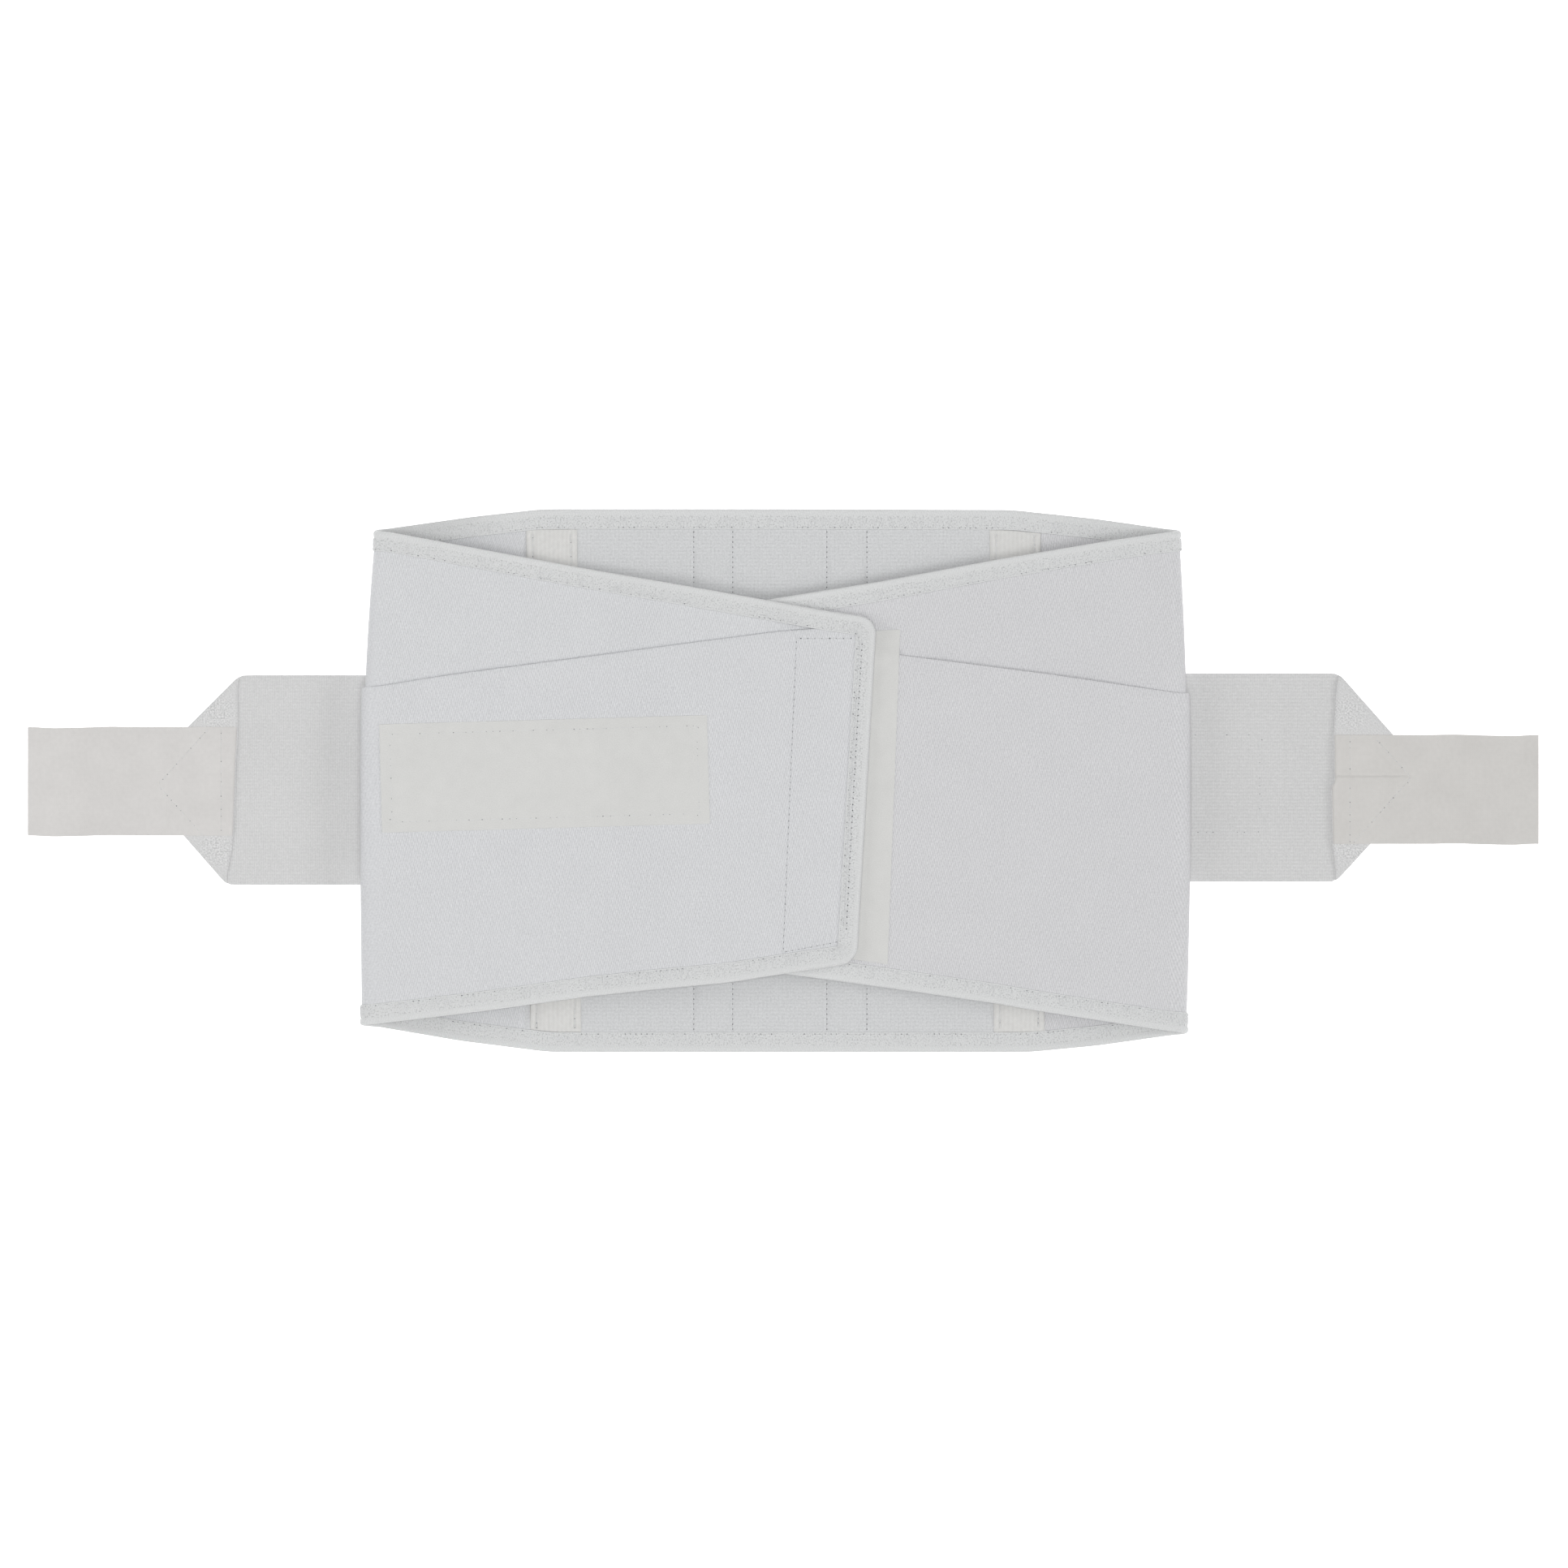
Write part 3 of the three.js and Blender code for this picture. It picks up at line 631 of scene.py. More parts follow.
RIGHT = {
    "sign": 1,
    "climb": 0.0,
    "fold": {"reach": 187, "top": 4.7, "bottom": 2.6},
    "end": {"at": -45, "lean": 0},
    "shared": {"top": -31, "bottom": -30},
    # Strength of the painted shade deep in the fold corners, at the top and at the bottom.
    "gloom": {"top": 0.13, "bottom": 0.1},
    "top": {
        "back": BACK_EDGES["right"]["top"],
        "front": [[183, 118.9], [157, 115.1], [102, 105.9], [46, 95.4], [-10, 86.4], [-45, 80.5]],
    },
    "bottom": {
        "back": BACK_EDGES["right"]["bottom"],
        "front": [[185, -120], [124, -110.6], [101, -106.6], [49, -99.2], [2, -92.8], [-45, -86]],
    },
    "lower_band_top": {
        "back": [[SEAM, 33], [187, 40.4]],
        "front": [[187, 42.4], [130, 50.7], [56, 60.3], [0, 67.5], [-45, 72.5]],
    },
    "upper_band_bottom": {
        "back": [[SEAM, -32], [187, -40.3]],
        "front": [[187, -41.7], [-45, -75]],
    },
    "edge_lift": {"height": 2.2, "from": [57, 80], "to": [140, 186]},
    # The right side's twill colours are a little darker than the left's: painted shade for light that falls
    # off towards the right.
    "twill": {"upper": -1, "lower": -1, "dark": (192, 192, 194), "light": (222, 222, 224)},
}
SIDES = {"left": LEFT, "right": RIGHT}


def fold_outline():
    """Points of a pressed fold of radius 1 from back to front: length along it, distance out and height."""
    angle = np.linspace(0, math.pi, FOLD_POINTS)
    out = np.sin(angle) ** FOLD_SQUARE
    up = -np.sign(np.cos(angle)) * np.abs(np.cos(angle)) ** FOLD_SQUARE
    return np.append(0, np.cumsum(np.hypot(np.diff(out), np.diff(up)))), out, up


FOLD_ARC, FOLD_OUT, FOLD_UP = fold_outline()
FOLD_LENGTH = FOLD_ARC[-1]


def ripple(x, y):
    """Slack waves that all layers of the front share."""
    heights = [
        row["height"] * np.sin(x / row["across"] + y / row["up"] + row["phase"])
        for row in RIPPLES
    ]
    return sum(heights)


def fold_line(side, y):
    """Distance of the side fold's axis at a height y."""
    draw = np.where(np.asarray(y) > 0, side["fold"]["top"], side["fold"]["bottom"])
    return side["fold"]["reach"] - draw * (y / HALF_BACK_HEIGHT) ** 2


def end_line(side, y):
    return side["end"]["at"] + side["end"]["lean"] * y


def place(side, leg, along, y, offset):
    """Points of a side on its back leg, round its fold (along its outline there) or on its front leg."""
    radius = FOLD_RADIUS + offset
    fold = fold_line(side, y)
    distance = along
    if leg == "back":
        height = -radius
    elif leg == "fold":
        distance = fold + radius * np.interp(along, FOLD_ARC, FOLD_OUT)
        height = radius * np.interp(along, FOLD_ARC, FOLD_UP)
    else:
        climb = side["climb"] * (1 - smoothstep(CLIMB_END, CLIMB_START, along))
        slack = ripple(side["sign"] * along, y) * smoothstep(0, RIPPLE_START, fold - along)
        height = radius + climb + slack
    return np.stack(np.broadcast_arrays(side["sign"] * distance, y, FOLD_HEIGHT + height), -1)


def edge_on(side, edge, leg, at):
    """Height of an edge at one of a band's stations."""
    fold = fold_line(side, edge_y(edge["front"], side["fold"]["reach"]))
    end = end_line(side, edge_y(edge["front"], side["end"]["at"])) + EDGE_INSET
    start = SEAM + SEAM_GAP
    if leg == "seam":
        return edge_y(edge["back"], start + at)
    if leg == "back":
        return edge_y(edge["back"], start + (fold - start) * at)
    if leg == "fold":
        back = edge_y(edge["back"], fold)
        return back + (edge_y(edge["front"], fold) - back) * at / FOLD_LENGTH
    if leg == "front":
        return edge_y(edge["front"], fold + (end - fold) * at)
    return edge_y(edge["front"], end + at)


def band_stations():
    """A band's stations: distances from its seam and end, shares of its legs, lengths round its fold."""
    half = CLOTH / 2
    corner = END_CORNER * (1 - np.cos(END_ARC))
    return (
        [("seam", distance) for distance in SEAM_RIM * RIM_ROWS]
        + [("back", share) for share in np.linspace(0, 1, BAND_STEPS["back"])[1:-1]]
        + [("fold", length) for length in np.linspace(0, FOLD_LENGTH, BAND_STEPS["fold"])]
        + [("front", share) for share in np.linspace(0, FRONT_SHARE, BAND_STEPS["front"])[1:]]
        + [("end", distance) for distance in (*corner, *(half * RIM_ROWS[::-1]))]
    )


def elastic_band(name, side, top, bottom, offset, edge_lift, finish):
    half = CLOTH / 2
    start = SEAM + SEAM_GAP
    lowers, uppers, weaves = [], [], []
    for leg, at in band_stations():
        cut = 0.0
        if leg == "end":
            cut = END_CORNER - math.sqrt(END_CORNER ** 2 - (END_CORNER - min(at, END_CORNER)) ** 2)
        high = min(edge_on(side, top, leg, at), edge_on(side, side["top"], leg, at) - EDGE_INSET - cut)
        low = max(edge_on(side, bottom, leg, at), edge_on(side, side["bottom"], leg, at) + EDGE_INSET + cut)
        y, rim = rows_between(low, high, BAND_ROWS, half)
        fold = fold_line(side, y)
        if leg == "seam":
            along = start + at + 0 * y
            rim = np.minimum(rim, at * half / SEAM_RIM)
        elif leg == "back":
            along = start + (fold - start) * at
        elif leg == "fold":
            along = at + 0 * y
        elif leg == "front":
            along = fold + (end_line(side, y) + EDGE_INSET - fold) * at
        else:
            along = end_line(side, y) + EDGE_INSET + at
            rim = np.minimum(rim, at)
        road = {"seam": "back", "end": "front"}.get(leg, leg)
        lift = 0.0
        if road == "front" and edge_lift:
            stretch = smoothstep(*edge_lift["from"], along) * (1 - smoothstep(*edge_lift["to"], along))
            lift = edge_lift["height"] * stretch * np.exp(-(high - y) / LIFT_WIDTH)
        if road == "back" and edge_lift:
            clear = smoothstep(0, SEAM_CLEAR, edge_y(side["upper_band_bottom"]["back"], along) - y)
            lift = -LAYER * clear * (1 - smoothstep(*SEAM_RAMP, along - SEAM))
        thick = rounded(rim, half)
        lowers.append(place(side, road, along, y, offset - thick + lift))
        uppers.append(place(side, road, along, y, offset + thick + lift))
        turn = FOLD_LENGTH * FOLD_RADIUS
        run = {"back": 2 * fold + turn - along, "front": along}.get(road, fold + turn - at * FOLD_RADIUS)
        weaves.append(np.stack([side["sign"] * run, y], -1))
    return closed_sheet(name, np.array(lowers), np.array(uppers), np.array(weaves), finish)


def twill_finish(name, lean, side):
    """Steep wales of elastic twill that lean one way, broken by threads that lean the other way.

    They fade where the fold presses the cloth, and painted shade darkens the cloth deep in the fold's
    corners."""
    material, weave, x, y = start_finish(name, 0.85, 0.1)
    rise = lean * y / WALE_RISE
    wale = wave(x / WALE_PITCH - rise + 0.4 * patches(weave, 6))
    cross = wave(x / CROSS_PITCH + rise + 0.4 * patches(weave, 5))
    run = x.math("ABSOLUTE", x)
    pressed = ramp(run, *FOLD_WEAVE[:2]) * ramp(run, *FOLD_WEAVE[:1:-1])
    height = (0.7 * wale + 0.3 * cross) * (0.4 + 1.2 * patches(weave, 2)) * (1 - 0.7 * pressed)
    speckle = 0.9 * uneven(weave, 0.9) + 0.12 * uneven(weave, 22)
    # Painted shade: the twill is darkened deep in the fold's corners, where little light comes in.
    deep = ramp(FOLD_WEAVE[3] - run, *PAINTED_SHADE_REACH) * ramp(run, *FOLD_WEAVE[2:])
    most, least = side["gloom"]["top"], side["gloom"]["bottom"]
    gloom = deep * (least + (most - least) * ramp(y, *PAINTED_SHADE_SPREAD))
    tint = 0.23 + 0.6 * height + 0.2 * pressed + speckle - gloom
    dark = display_colour(*side["twill"]["dark"])
    light = display_colour(*side["twill"]["light"])
    return end_finish(material, tint, dark, light, height, 0.1)


for word, side in SIDES.items():
    upper_edges = (side["top"], side["upper_band_bottom"])
    upper_finish = twill_finish(f"upper_twill_{word}", side["twill"]["upper"], side)
    upper = elastic_band(f"elastic_upper_{word}", side, *upper_edges, 0, None, upper_finish)
    lower_edges = (side["lower_band_top"], side["bottom"])
    lower_finish = twill_finish(f"lower_twill_{word}", side["twill"]["lower"], side)
    lift = side["edge_lift"]
    lower = elastic_band(f"elastic_lower_{word}", side, *lower_edges, LAYER, lift, lower_finish)
    for piece, node in ((upper, f"upper_band_{word}"), (lower, f"lower_band_{word}")):
        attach(piece, "root")
        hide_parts(node)


# Edge binding
# One soft white knitted tape folded over the belt's whole outer edge. Cover stitching holds it: two needle
# rows with a zigzag of loose thread between them, and a rolled edge outside.
BINDING = 0.7
BINDING_ROLL = {"height": 0.3, "at": 1.6, "width": 1.3}
BINDING_LEG = np.array([9.6, 8.4, 7.2, 6.0, 4.8, 3.6, 2.8, 2.0, 1.3])
BINDING_LINING = np.array([1.0, 5.0, 9.5])
BINDING_TURN = np.linspace(0, math.pi, 8)[1:-1]
BINDING_STEPS = {"back": 60, "fold": 25, "front": 76, "corner": 11, "end": 44}
BINDING_BLEND = 12
OUTER_CORNER = 8
MITRE_RADIUS = 0.7
CORNER_ZONE = BINDING_DEPTH + MITRE_RADIUS
CORNER_CLEAR = 2
NEEDLE_ROWS = (3.6, 8.8)
NEEDLE_SINK = {"depth": 0.25, "width": 0.7}
NEEDLE_STITCHES = {"pitch": 2.6, "rise": 0.1, "thread": 0.12, "hole": 0.34, "stretch": 1.3, "least": 0.1}
COVER_STITCHES = {"pitch": 1.7, "width": NEEDLE_ROWS[1] - NEEDLE_ROWS[0], "rise": 0.2, "thread": 0.16}
THREAD_SINK = 0.1
KNIT_PITCH = 1.15
KNIT_LEAN = 0.45
SPECKS = [0.52, 0.7]


def binding_faces(edge, share):
    """Offsets of the tape's two cloth-side faces, where share says how far both bands lie inside it."""
    clear = CLOTH / 2 + SEAT
    if edge == "top":
        return -clear, clear + LAYER * share
    return LAYER - clear - LAYER * share, LAYER + clear


def binding_edge(side, edge):
    """Stations along the top or bottom edge from the back's middle: leg, fold line, free edge and faces."""
    inward = -1 if edge == "top" else 1
    rows = side[edge]
    fold = float(fold_line(side, edge_y(rows["front"], side["fold"]["reach"])))
    end = float(end_line(side, rows["front"][-1][1]))
    stations = []

    def add(leg, along, y, share):
        outer = np.array([along, y])
        inner = np.array([along, y + inward * BINDING_DEPTH])
        stations.append((leg, outer, inner, binding_faces(edge, share)))

    for along in np.linspace(0, fold, BINDING_STEPS["back"])[:-1]:
        share = 1 - smoothstep(*SEAM_RAMP, along - SEAM)
        add("back", along, edge_y(rows["back"], along), share)
    for share in np.linspace(0, 1, BINDING_STEPS["fold"]):
        back = edge_y(rows["back"], fold)
        add("fold", share * FOLD_LENGTH, back + (edge_y(rows["front"], fold) - back) * share, 0.0)
    merge = side["shared"][edge]
    for along in np.linspace(fold, end + CORNER_ZONE + CORNER_CLEAR, BINDING_STEPS["front"])[1:]:
        share = 1 - smoothstep(merge, merge + BINDING_BLEND, along)
        add("front", along, edge_y(rows["front"], along), share)
    return stations


def binding_corner(side, edge):
    """Stations round the front end's corner: an arc at the fold line and a tight mitre at the free edge."""
    inward = -1 if edge == "top" else 1
    rows = side[edge]["front"]

    def on_panel(from_end, from_edge):
        near_end = end_line(side, rows[-1][1]) + from_end
        y = edge_y(rows, near_end) + inward * from_edge
        return np.array([end_line(side, y) + from_end, y])

    def arc(centre, radius, count):
        angle = np.linspace(0, math.pi / 2, count)
        return zip(centre - radius * np.sin(angle), centre - radius * np.cos(angle))

    rounding = arc(OUTER_CORNER, OUTER_CORNER, BINDING_STEPS["corner"])
    outer = [(CORNER_ZONE, 0), *rounding, (0, CORNER_ZONE)]
    inner = arc(CORNER_ZONE, MITRE_RADIUS, len(outer))
    faces = binding_faces(edge, 1)
    return [("front", on_panel(*out), on_panel(*into), faces) for out, into in zip(outer, inner)]


def binding_side(side):
    """Stations round one side, from the back's top middle to its bottom middle."""
    top = binding_corner(side, "top")
    bottom = binding_corner(side, "bottom")[::-1]
    faces = binding_faces("top", 1)
    between = []
    for share in np.linspace(0, 1, BINDING_STEPS["end"])[1:-1]:
        outer = top[-1][1] + (bottom[0][1] - top[-1][1]) * share
        inner = top[-1][2] + (bottom[0][2] - top[-1][2]) * share
        between.append(("front", outer, inner, faces))
    return binding_edge(side, "top") + top + between + bottom + binding_edge(side, "bottom")[::-1]


def binding_loop():
    left = [(LEFT, *station) for station in binding_side(LEFT)]
    right = [(RIGHT, *station) for station in binding_side(RIGHT)[::-1][1:-1]]
    return left + right


def binding_point(station, depth, offset):
    side, leg, outer, inner, _ = station
    along, y = outer + (inner - outer) * depth / BINDING_DEPTH
    return place(side, leg, along, y, offset)


def binding_section(low, high):
    """Outline of the folded tape as depth from the fold line and offset, from its upper free edge round."""
    leg, lining, turn = BINDING_LEG, BINDING_LINING, BINDING_TURN
    sunk = sum(np.exp(-((leg - row) / NEEDLE_SINK["width"]) ** 2) for row in NEEDLE_ROWS)
    roll = np.exp(-((leg - BINDING_ROLL["at"]) / BINDING_ROLL["width"]) ** 2)
    swell = BINDING + BINDING_ROLL["height"] * roll - NEEDLE_SINK["depth"] * sunk
    middle = (low + high) / 2
    half = (high - low) / 2 + swell[-1]
    return [
        *zip(leg, high + swell),
        *zip(leg[-1] * (1 - np.sin(turn)), middle + half * np.cos(turn)),
        *zip(leg[::-1], low - swell[::-1]),
        (BINDING_DEPTH, low - BINDING / 2),
        *zip(lining[::-1], low + 0 * lining),
        (BINDING, middle),
        *zip(lining, high + 0 * lining),
        (BINDING_DEPTH, high + BINDING / 2),
    ]


def binding_finish():
    material, weave, x, y = start_finish("binding_tape", 0.9, 0.1)
    rib = wave((x + KNIT_LEAN * y) / KNIT_PITCH + 0.6 * patches(weave, 3))
    fuzz = patches(weave, 0.7, 1.0)
    sewn_share = ramp(y, NEEDLE_ROWS[0] - 1, NEEDLE_ROWS[0]) * ramp(y, NEEDLE_ROWS[1] + 0.8, NEEDLE_ROWS[1])
    speck = ramp(patches(weave, 0.8), *SPECKS) * sewn_share
    # An Attribute node's number is output 2. The attribute holds the painted shade of the fold corners.
    gloom = weave.node("ShaderNodeAttribute", {"attribute_name": "gloom"}, output=2)
    tint = 0.62 + 0.55 * (fuzz - 0.5) + 0.12 * rib - 0.7 * speck - gloom
    dark = display_colour(188, 189, 189)
    light = display_colour(225, 226, 226)
    return end_finish(material, tint, dark, light, 0.4 * rib + 0.4 * fuzz - 0.6 * speck, 0.06)


BINDING_LOOP = binding_loop()


def painted_fold_shade_share(station):
    """How much painted shade darkens the tape deep in the corner of a fold, where little light comes in."""
    side, leg, (along, y), _, _ = station
    most = side["gloom"]["top" if y > 0 else "bottom"]
    if leg == "back":
        return most * smoothstep(*PAINTED_SHADE_REACH, along - side["fold"]["reach"])
    return most * (1 - along / FOLD_LENGTH) if leg == "fold" else 0.0


def binding_tape():
    rings = []
    for station in BINDING_LOOP:
        section = binding_section(*station[4])
        rings.append([binding_point(station, depth, offset) for depth, offset in section])
    rings = np.array(rings)
    depths = np.array([depth for depth, _ in section])
    count, size = rings.shape[:2]
    spine = rings[:, size // 3]
    length = np.concatenate([[0], np.cumsum(np.linalg.norm(np.diff(spine, axis=0), axis=1))])
    station, point = np.meshgrid(np.arange(count), np.arange(size), indexing="ij")
    after, beside = station + 1, point + 1
    corners = [(station, point), (after, point), (after, beside), (station, beside)]
    faces = np.stack([(i % count) * size + j % size for i, j in corners], -1).reshape(-1, 4)
    length = np.append(length, length[-1] + np.linalg.norm(spine[0] - spine[-1]))
    weave = np.stack([np.stack([length[i], depths[j % size]], -1) for i, j in corners], -2)
    tape = mesh_piece("edge_tape", rings.reshape(-1, 3), faces, weave.reshape(-1, 4, 2), binding_finish())
    # Painted shade on the tape's wearer side, darkest deep in the fold corners.
    wearer_side = np.array([offset for _, offset in section]) < sum(BINDING_LOOP[-1][4]) / 2
    gloom = np.array([painted_fold_shade_share(station) for station in BINDING_LOOP])[:, None] * wearer_side
    tape.data.attributes.new("gloom", "FLOAT", "POINT").data.foreach_set("value", gloom.ravel())
    return tape


edge_tape = binding_tape()
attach(edge_tape, "root")
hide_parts("edge_binding")


def binding_path(depth, outside):
    """Path along the tape at a depth from its fold line, on its outside face or on the wearer's side."""
    points, ups = [], []
    for station in BINDING_LOOP + BINDING_LOOP[:1]:
        low, high = station[4]
        offset, away = (high + BINDING, 1) if outside else (low - BINDING, -1)
        points.append(binding_point(station, depth, offset - THREAD_SINK * away))
        ups.append(away * (binding_point(station, depth, offset + 1) - points[-1]))
    ups = np.array(ups)
    return np.array(points), ups / np.linalg.norm(ups, axis=1)[:, None]


for word, outside in (("outer", True), ("inner", False)):
    inner_row = [binding_path(NEEDLE_ROWS[1], outside)]
    needle_row = sewn(f"binding_needle_row_{word}", STRAIGHT_STITCH, inner_row, **NEEDLE_STITCHES)
    middle_path = [binding_path(sum(NEEDLE_ROWS) / 2, outside)]
    cover = sewn(f"binding_cover_thread_{word}", ZIGZAG_STITCH, middle_path, **COVER_STITCHES)
    for stitches in (needle_row, cover):
        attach(stitches, "root")


# Closure tapes
# A soft loop tape sewn on the right front panel, which shows beside the left panel's end, and a strip of
# hook tape sewn inside that end. The rows of stitches round the hook strip show through on the outside.
TAPE = 1.0
CLOSURE_LOOP = [[56, 72.4], [-34, 68], [-34, -76], [50, -88]]
CLOSURE_HOOK = [[-6.2, 67.7], [-33.2, 67.7], [-25.2, -76], [-0.4, -76]]
HOOK_PITCH = 0.9
UPPER_BAND_FACE = CLOTH / 2
LOWER_BAND_FACE = LAYER + CLOTH / 2
TAPE_RIM = 0.6
TAPE_EDGE = 0.06
TAPE_PRESS = 7
LANDING_STEP = [-0.6, 3.4]
TAPE_COUNTS = {"landing": (40, 60), "hook": (16, 60)}
ROW_STEPS = 20


def loop_finish():
    material, weave, _, _ = start_finish("loop_tape", 0.95, 0.25)
    fuzz = patches(weave, 0.6, 3.0)
    tint = 0.63 + 0.7 * (fuzz - 0.5) + 0.25 * uneven(weave, 6) + 0.2 * uneven(weave, 20)
    dark = display_colour(198, 198, 196)
    light = display_colour(219, 219, 217)
    return end_finish(material, tint, dark, light, fuzz, 0.05)


def hook_finish(name, dark, light):
    material, weave, x, y = start_finish(name, 0.6, 0.0)
    hooks = wave(x / HOOK_PITCH) * wave(y / HOOK_PITCH)
    tint = 0.44 + 0.05 * hooks + 0.35 * uneven(weave, 18) + 0.25 * uneven(weave, 2)
    return end_finish(material, tint, display_colour(*dark), display_colour(*light), hooks, 0.01)


LOOP_FINISH = loop_finish()
HOOK_FINISH = hook_finish("hook_tape", (197, 195, 193), (223, 221, 219))


def tape_grid(corners, count_along, count_across):
    """Plan of a four-cornered tape as distances, heights and rim distances, from its outer end."""
    top_out, top_in, bottom_in, bottom_out = (np.array(corner, float) for corner in corners)
    length = np.linalg.norm(top_in - top_out)
    height = np.linalg.norm(bottom_out - top_out)
    along, rim_along = rows_between(0, length, count_along, TAPE / 2)
    across, rim_across = rows_between(0, height, count_across, TAPE / 2)
    along_share = (along / length)[:, None, None]
    across_share = (across / height)[None, :, None]
    top = top_out + (top_in - top_out) * along_share
    bottom = bottom_out + (bottom_in - bottom_out) * along_share
    plan = bottom + (top - bottom) * across_share
    return plan[..., 0], plan[..., 1], np.minimum(rim_along[:, None], rim_across)


def front_tape(name, side, grid, low, high, finish):
    """Tape on a front panel between two offsets, which may vary over it, with its edge pressed down."""
    distance, y, rim = grid
    pressed = TAPE_RIM + (high - low - TAPE_RIM) * smoothstep(0, TAPE_PRESS, rim)
    upper = place(side, "front", distance, y, low + pressed * smoothstep(0, TAPE_EDGE, rim))
    lower = place(side, "front", distance, y, low)
    return closed_sheet(name, lower, upper, np.stack([side["sign"] * distance, y], -1), finish)


landing_grid = tape_grid(CLOSURE_LOOP, *TAPE_COUNTS["landing"])
band_edge = edge_y(RIGHT["lower_band_top"]["front"], landing_grid[0])
on_lower_band = 1 - smoothstep(*LANDING_STEP, landing_grid[1] - band_edge)
landing_seat = UPPER_BAND_FACE + LAYER * on_lower_band + SEAT
landing_face = landing_seat + TAPE + GAP
landing = front_tape("landing_tape", RIGHT, landing_grid, landing_seat, landing_face, LOOP_FINISH)
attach(landing, "root")
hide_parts("closure_loop")

hook_grid = tape_grid(CLOSURE_HOOK, *TAPE_COUNTS["hook"])
hook_face = -UPPER_BAND_FACE - GAP - TAPE
hook_strip = front_tape("closure_hook_strip", LEFT, hook_grid, hook_face, hook_face + TAPE, HOOK_FINISH)
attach(hook_strip, "root")
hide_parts("closure_hook")


def row_points(corners):
    """Distances and heights of close points on straight lines from corner to corner."""
    corners = np.array(corners, float)
    share = np.linspace(0, 1, ROW_STEPS)[:, None]
    steps = [share * (b - a) + a for a, b in zip(corners[:-1], corners[1:])]
    return np.concatenate(steps).T


def panel_path(side, corners, offset):
    """Path over a front panel through corners, each a distance and a height."""
    distance, y = row_points(corners)
    points = place(side, "front", distance, y, offset)
    ups = place(side, "front", distance, y, offset + 1) - points
    return points, ups / np.linalg.norm(ups, axis=1)[:, None]


BINDING_FACE = LOWER_BAND_FACE + SEAT + BINDING
END_ROWS = {
    "closure_stitches": {
        "face": LOWER_BAND_FACE,
        "rows": [[[-6.4, 67.7], [0, -81.9]], [[0, -82], [-14, -79.5], [-24, -77.5]]],
        "look": {"pitch": 3.0, "thread": 0.12, "hole": 0.22, "stretch": 4, "least": 0.8},
    },
    "closure_top_stitches": {
        "face": LOWER_BAND_FACE,
        "rows": [[[-7, 68], [-31, 68]]],
        "look": {"pitch": 3.2, "hole": 0.4, "least": 0.7, "holes": "deep"},
    },
    "end_stitches": {
        "face": BINDING_FACE,
        "rows": [[[-37.8, 66.5], [-33.9, 0], [-30.3, -69.6]]],
        "look": {"pitch": 2.8, "hole": 0.38, "least": 0.85, "holes": "deep"},
    },
    "end_second_stitches": {
        "face": BINDING_FACE,
        "rows": [[[-36.6, 66], [-32.7, 0], [-29.1, -69]]],
        "look": {"pitch": 2.8, "hole": 0.24, "least": 0.1},
    },
}
for name, seam in END_ROWS.items():
    paths = [panel_path(LEFT, row, seam["face"]) for row in seam["rows"]]
    stitches = sewn(name, STRAIGHT_STITCH, paths, **seam["look"])
    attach(stitches, "root")


# Front loop patch
# A patch of soft loop tape on the left front panel, for a tension strap to fasten on. One row of stitches
# runs round it a little way in from its cut edges.
PATCH = {"length": 157, "height": 52, "centre": (114.2, 3.2), "turn": math.radians(1.6)}
PATCH_HEM = 5.0
PATCH_GROOVE = {"depth": 0.2, "width": 1.2}
PATCH_COUNTS = (110, 44)
PATCH_THREAD_SINK = 0.05
PATCH_STITCHES = {"pitch": 3.2, "rise": 0.05, "thread": 0.1, "hole": 0.34, "least": 0.1}


def patch_corners(inset):
    """Corners of the patch, or of a line inside it, as distances and heights."""
    across = PATCH["length"] / 2 - inset
    up = PATCH["height"] / 2 - inset
    cosine, sine = math.cos(PATCH["turn"]), math.sin(PATCH["turn"])
    corners = [(across, up), (-across, up), (-across, -up), (across, -up)]
    return [
        (PATCH["centre"][0] + u * cosine + v * sine, PATCH["centre"][1] + v * cosine - u * sine)
        for u, v in corners
    ]


patch_grid = tape_grid(patch_corners(0), *PATCH_COUNTS)
hem_distance = patch_grid[2] - PATCH_HEM
patch_relief = -PATCH_GROOVE["depth"] * np.exp(-(hem_distance / PATCH_GROOVE["width"]) ** 2)
patch_face = LOWER_BAND_FACE + GAP + TAPE + patch_relief
patch_seat = LOWER_BAND_FACE + SEAT
loop_patch = front_tape("loop_patch", LEFT, patch_grid, patch_seat, patch_face, LOOP_FINISH)
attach(loop_patch, "root")
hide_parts("front_loop_patch")

patch_line = patch_corners(PATCH_HEM)
patch_row = [panel_path(LEFT, [*patch_line, patch_line[0]], patch_seat + TAPE - PATCH_THREAD_SINK)]
patch_stitches = sewn("patch_stitches", STRAIGHT_STITCH, patch_row, **PATCH_STITCHES)
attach(patch_stitches, "root")


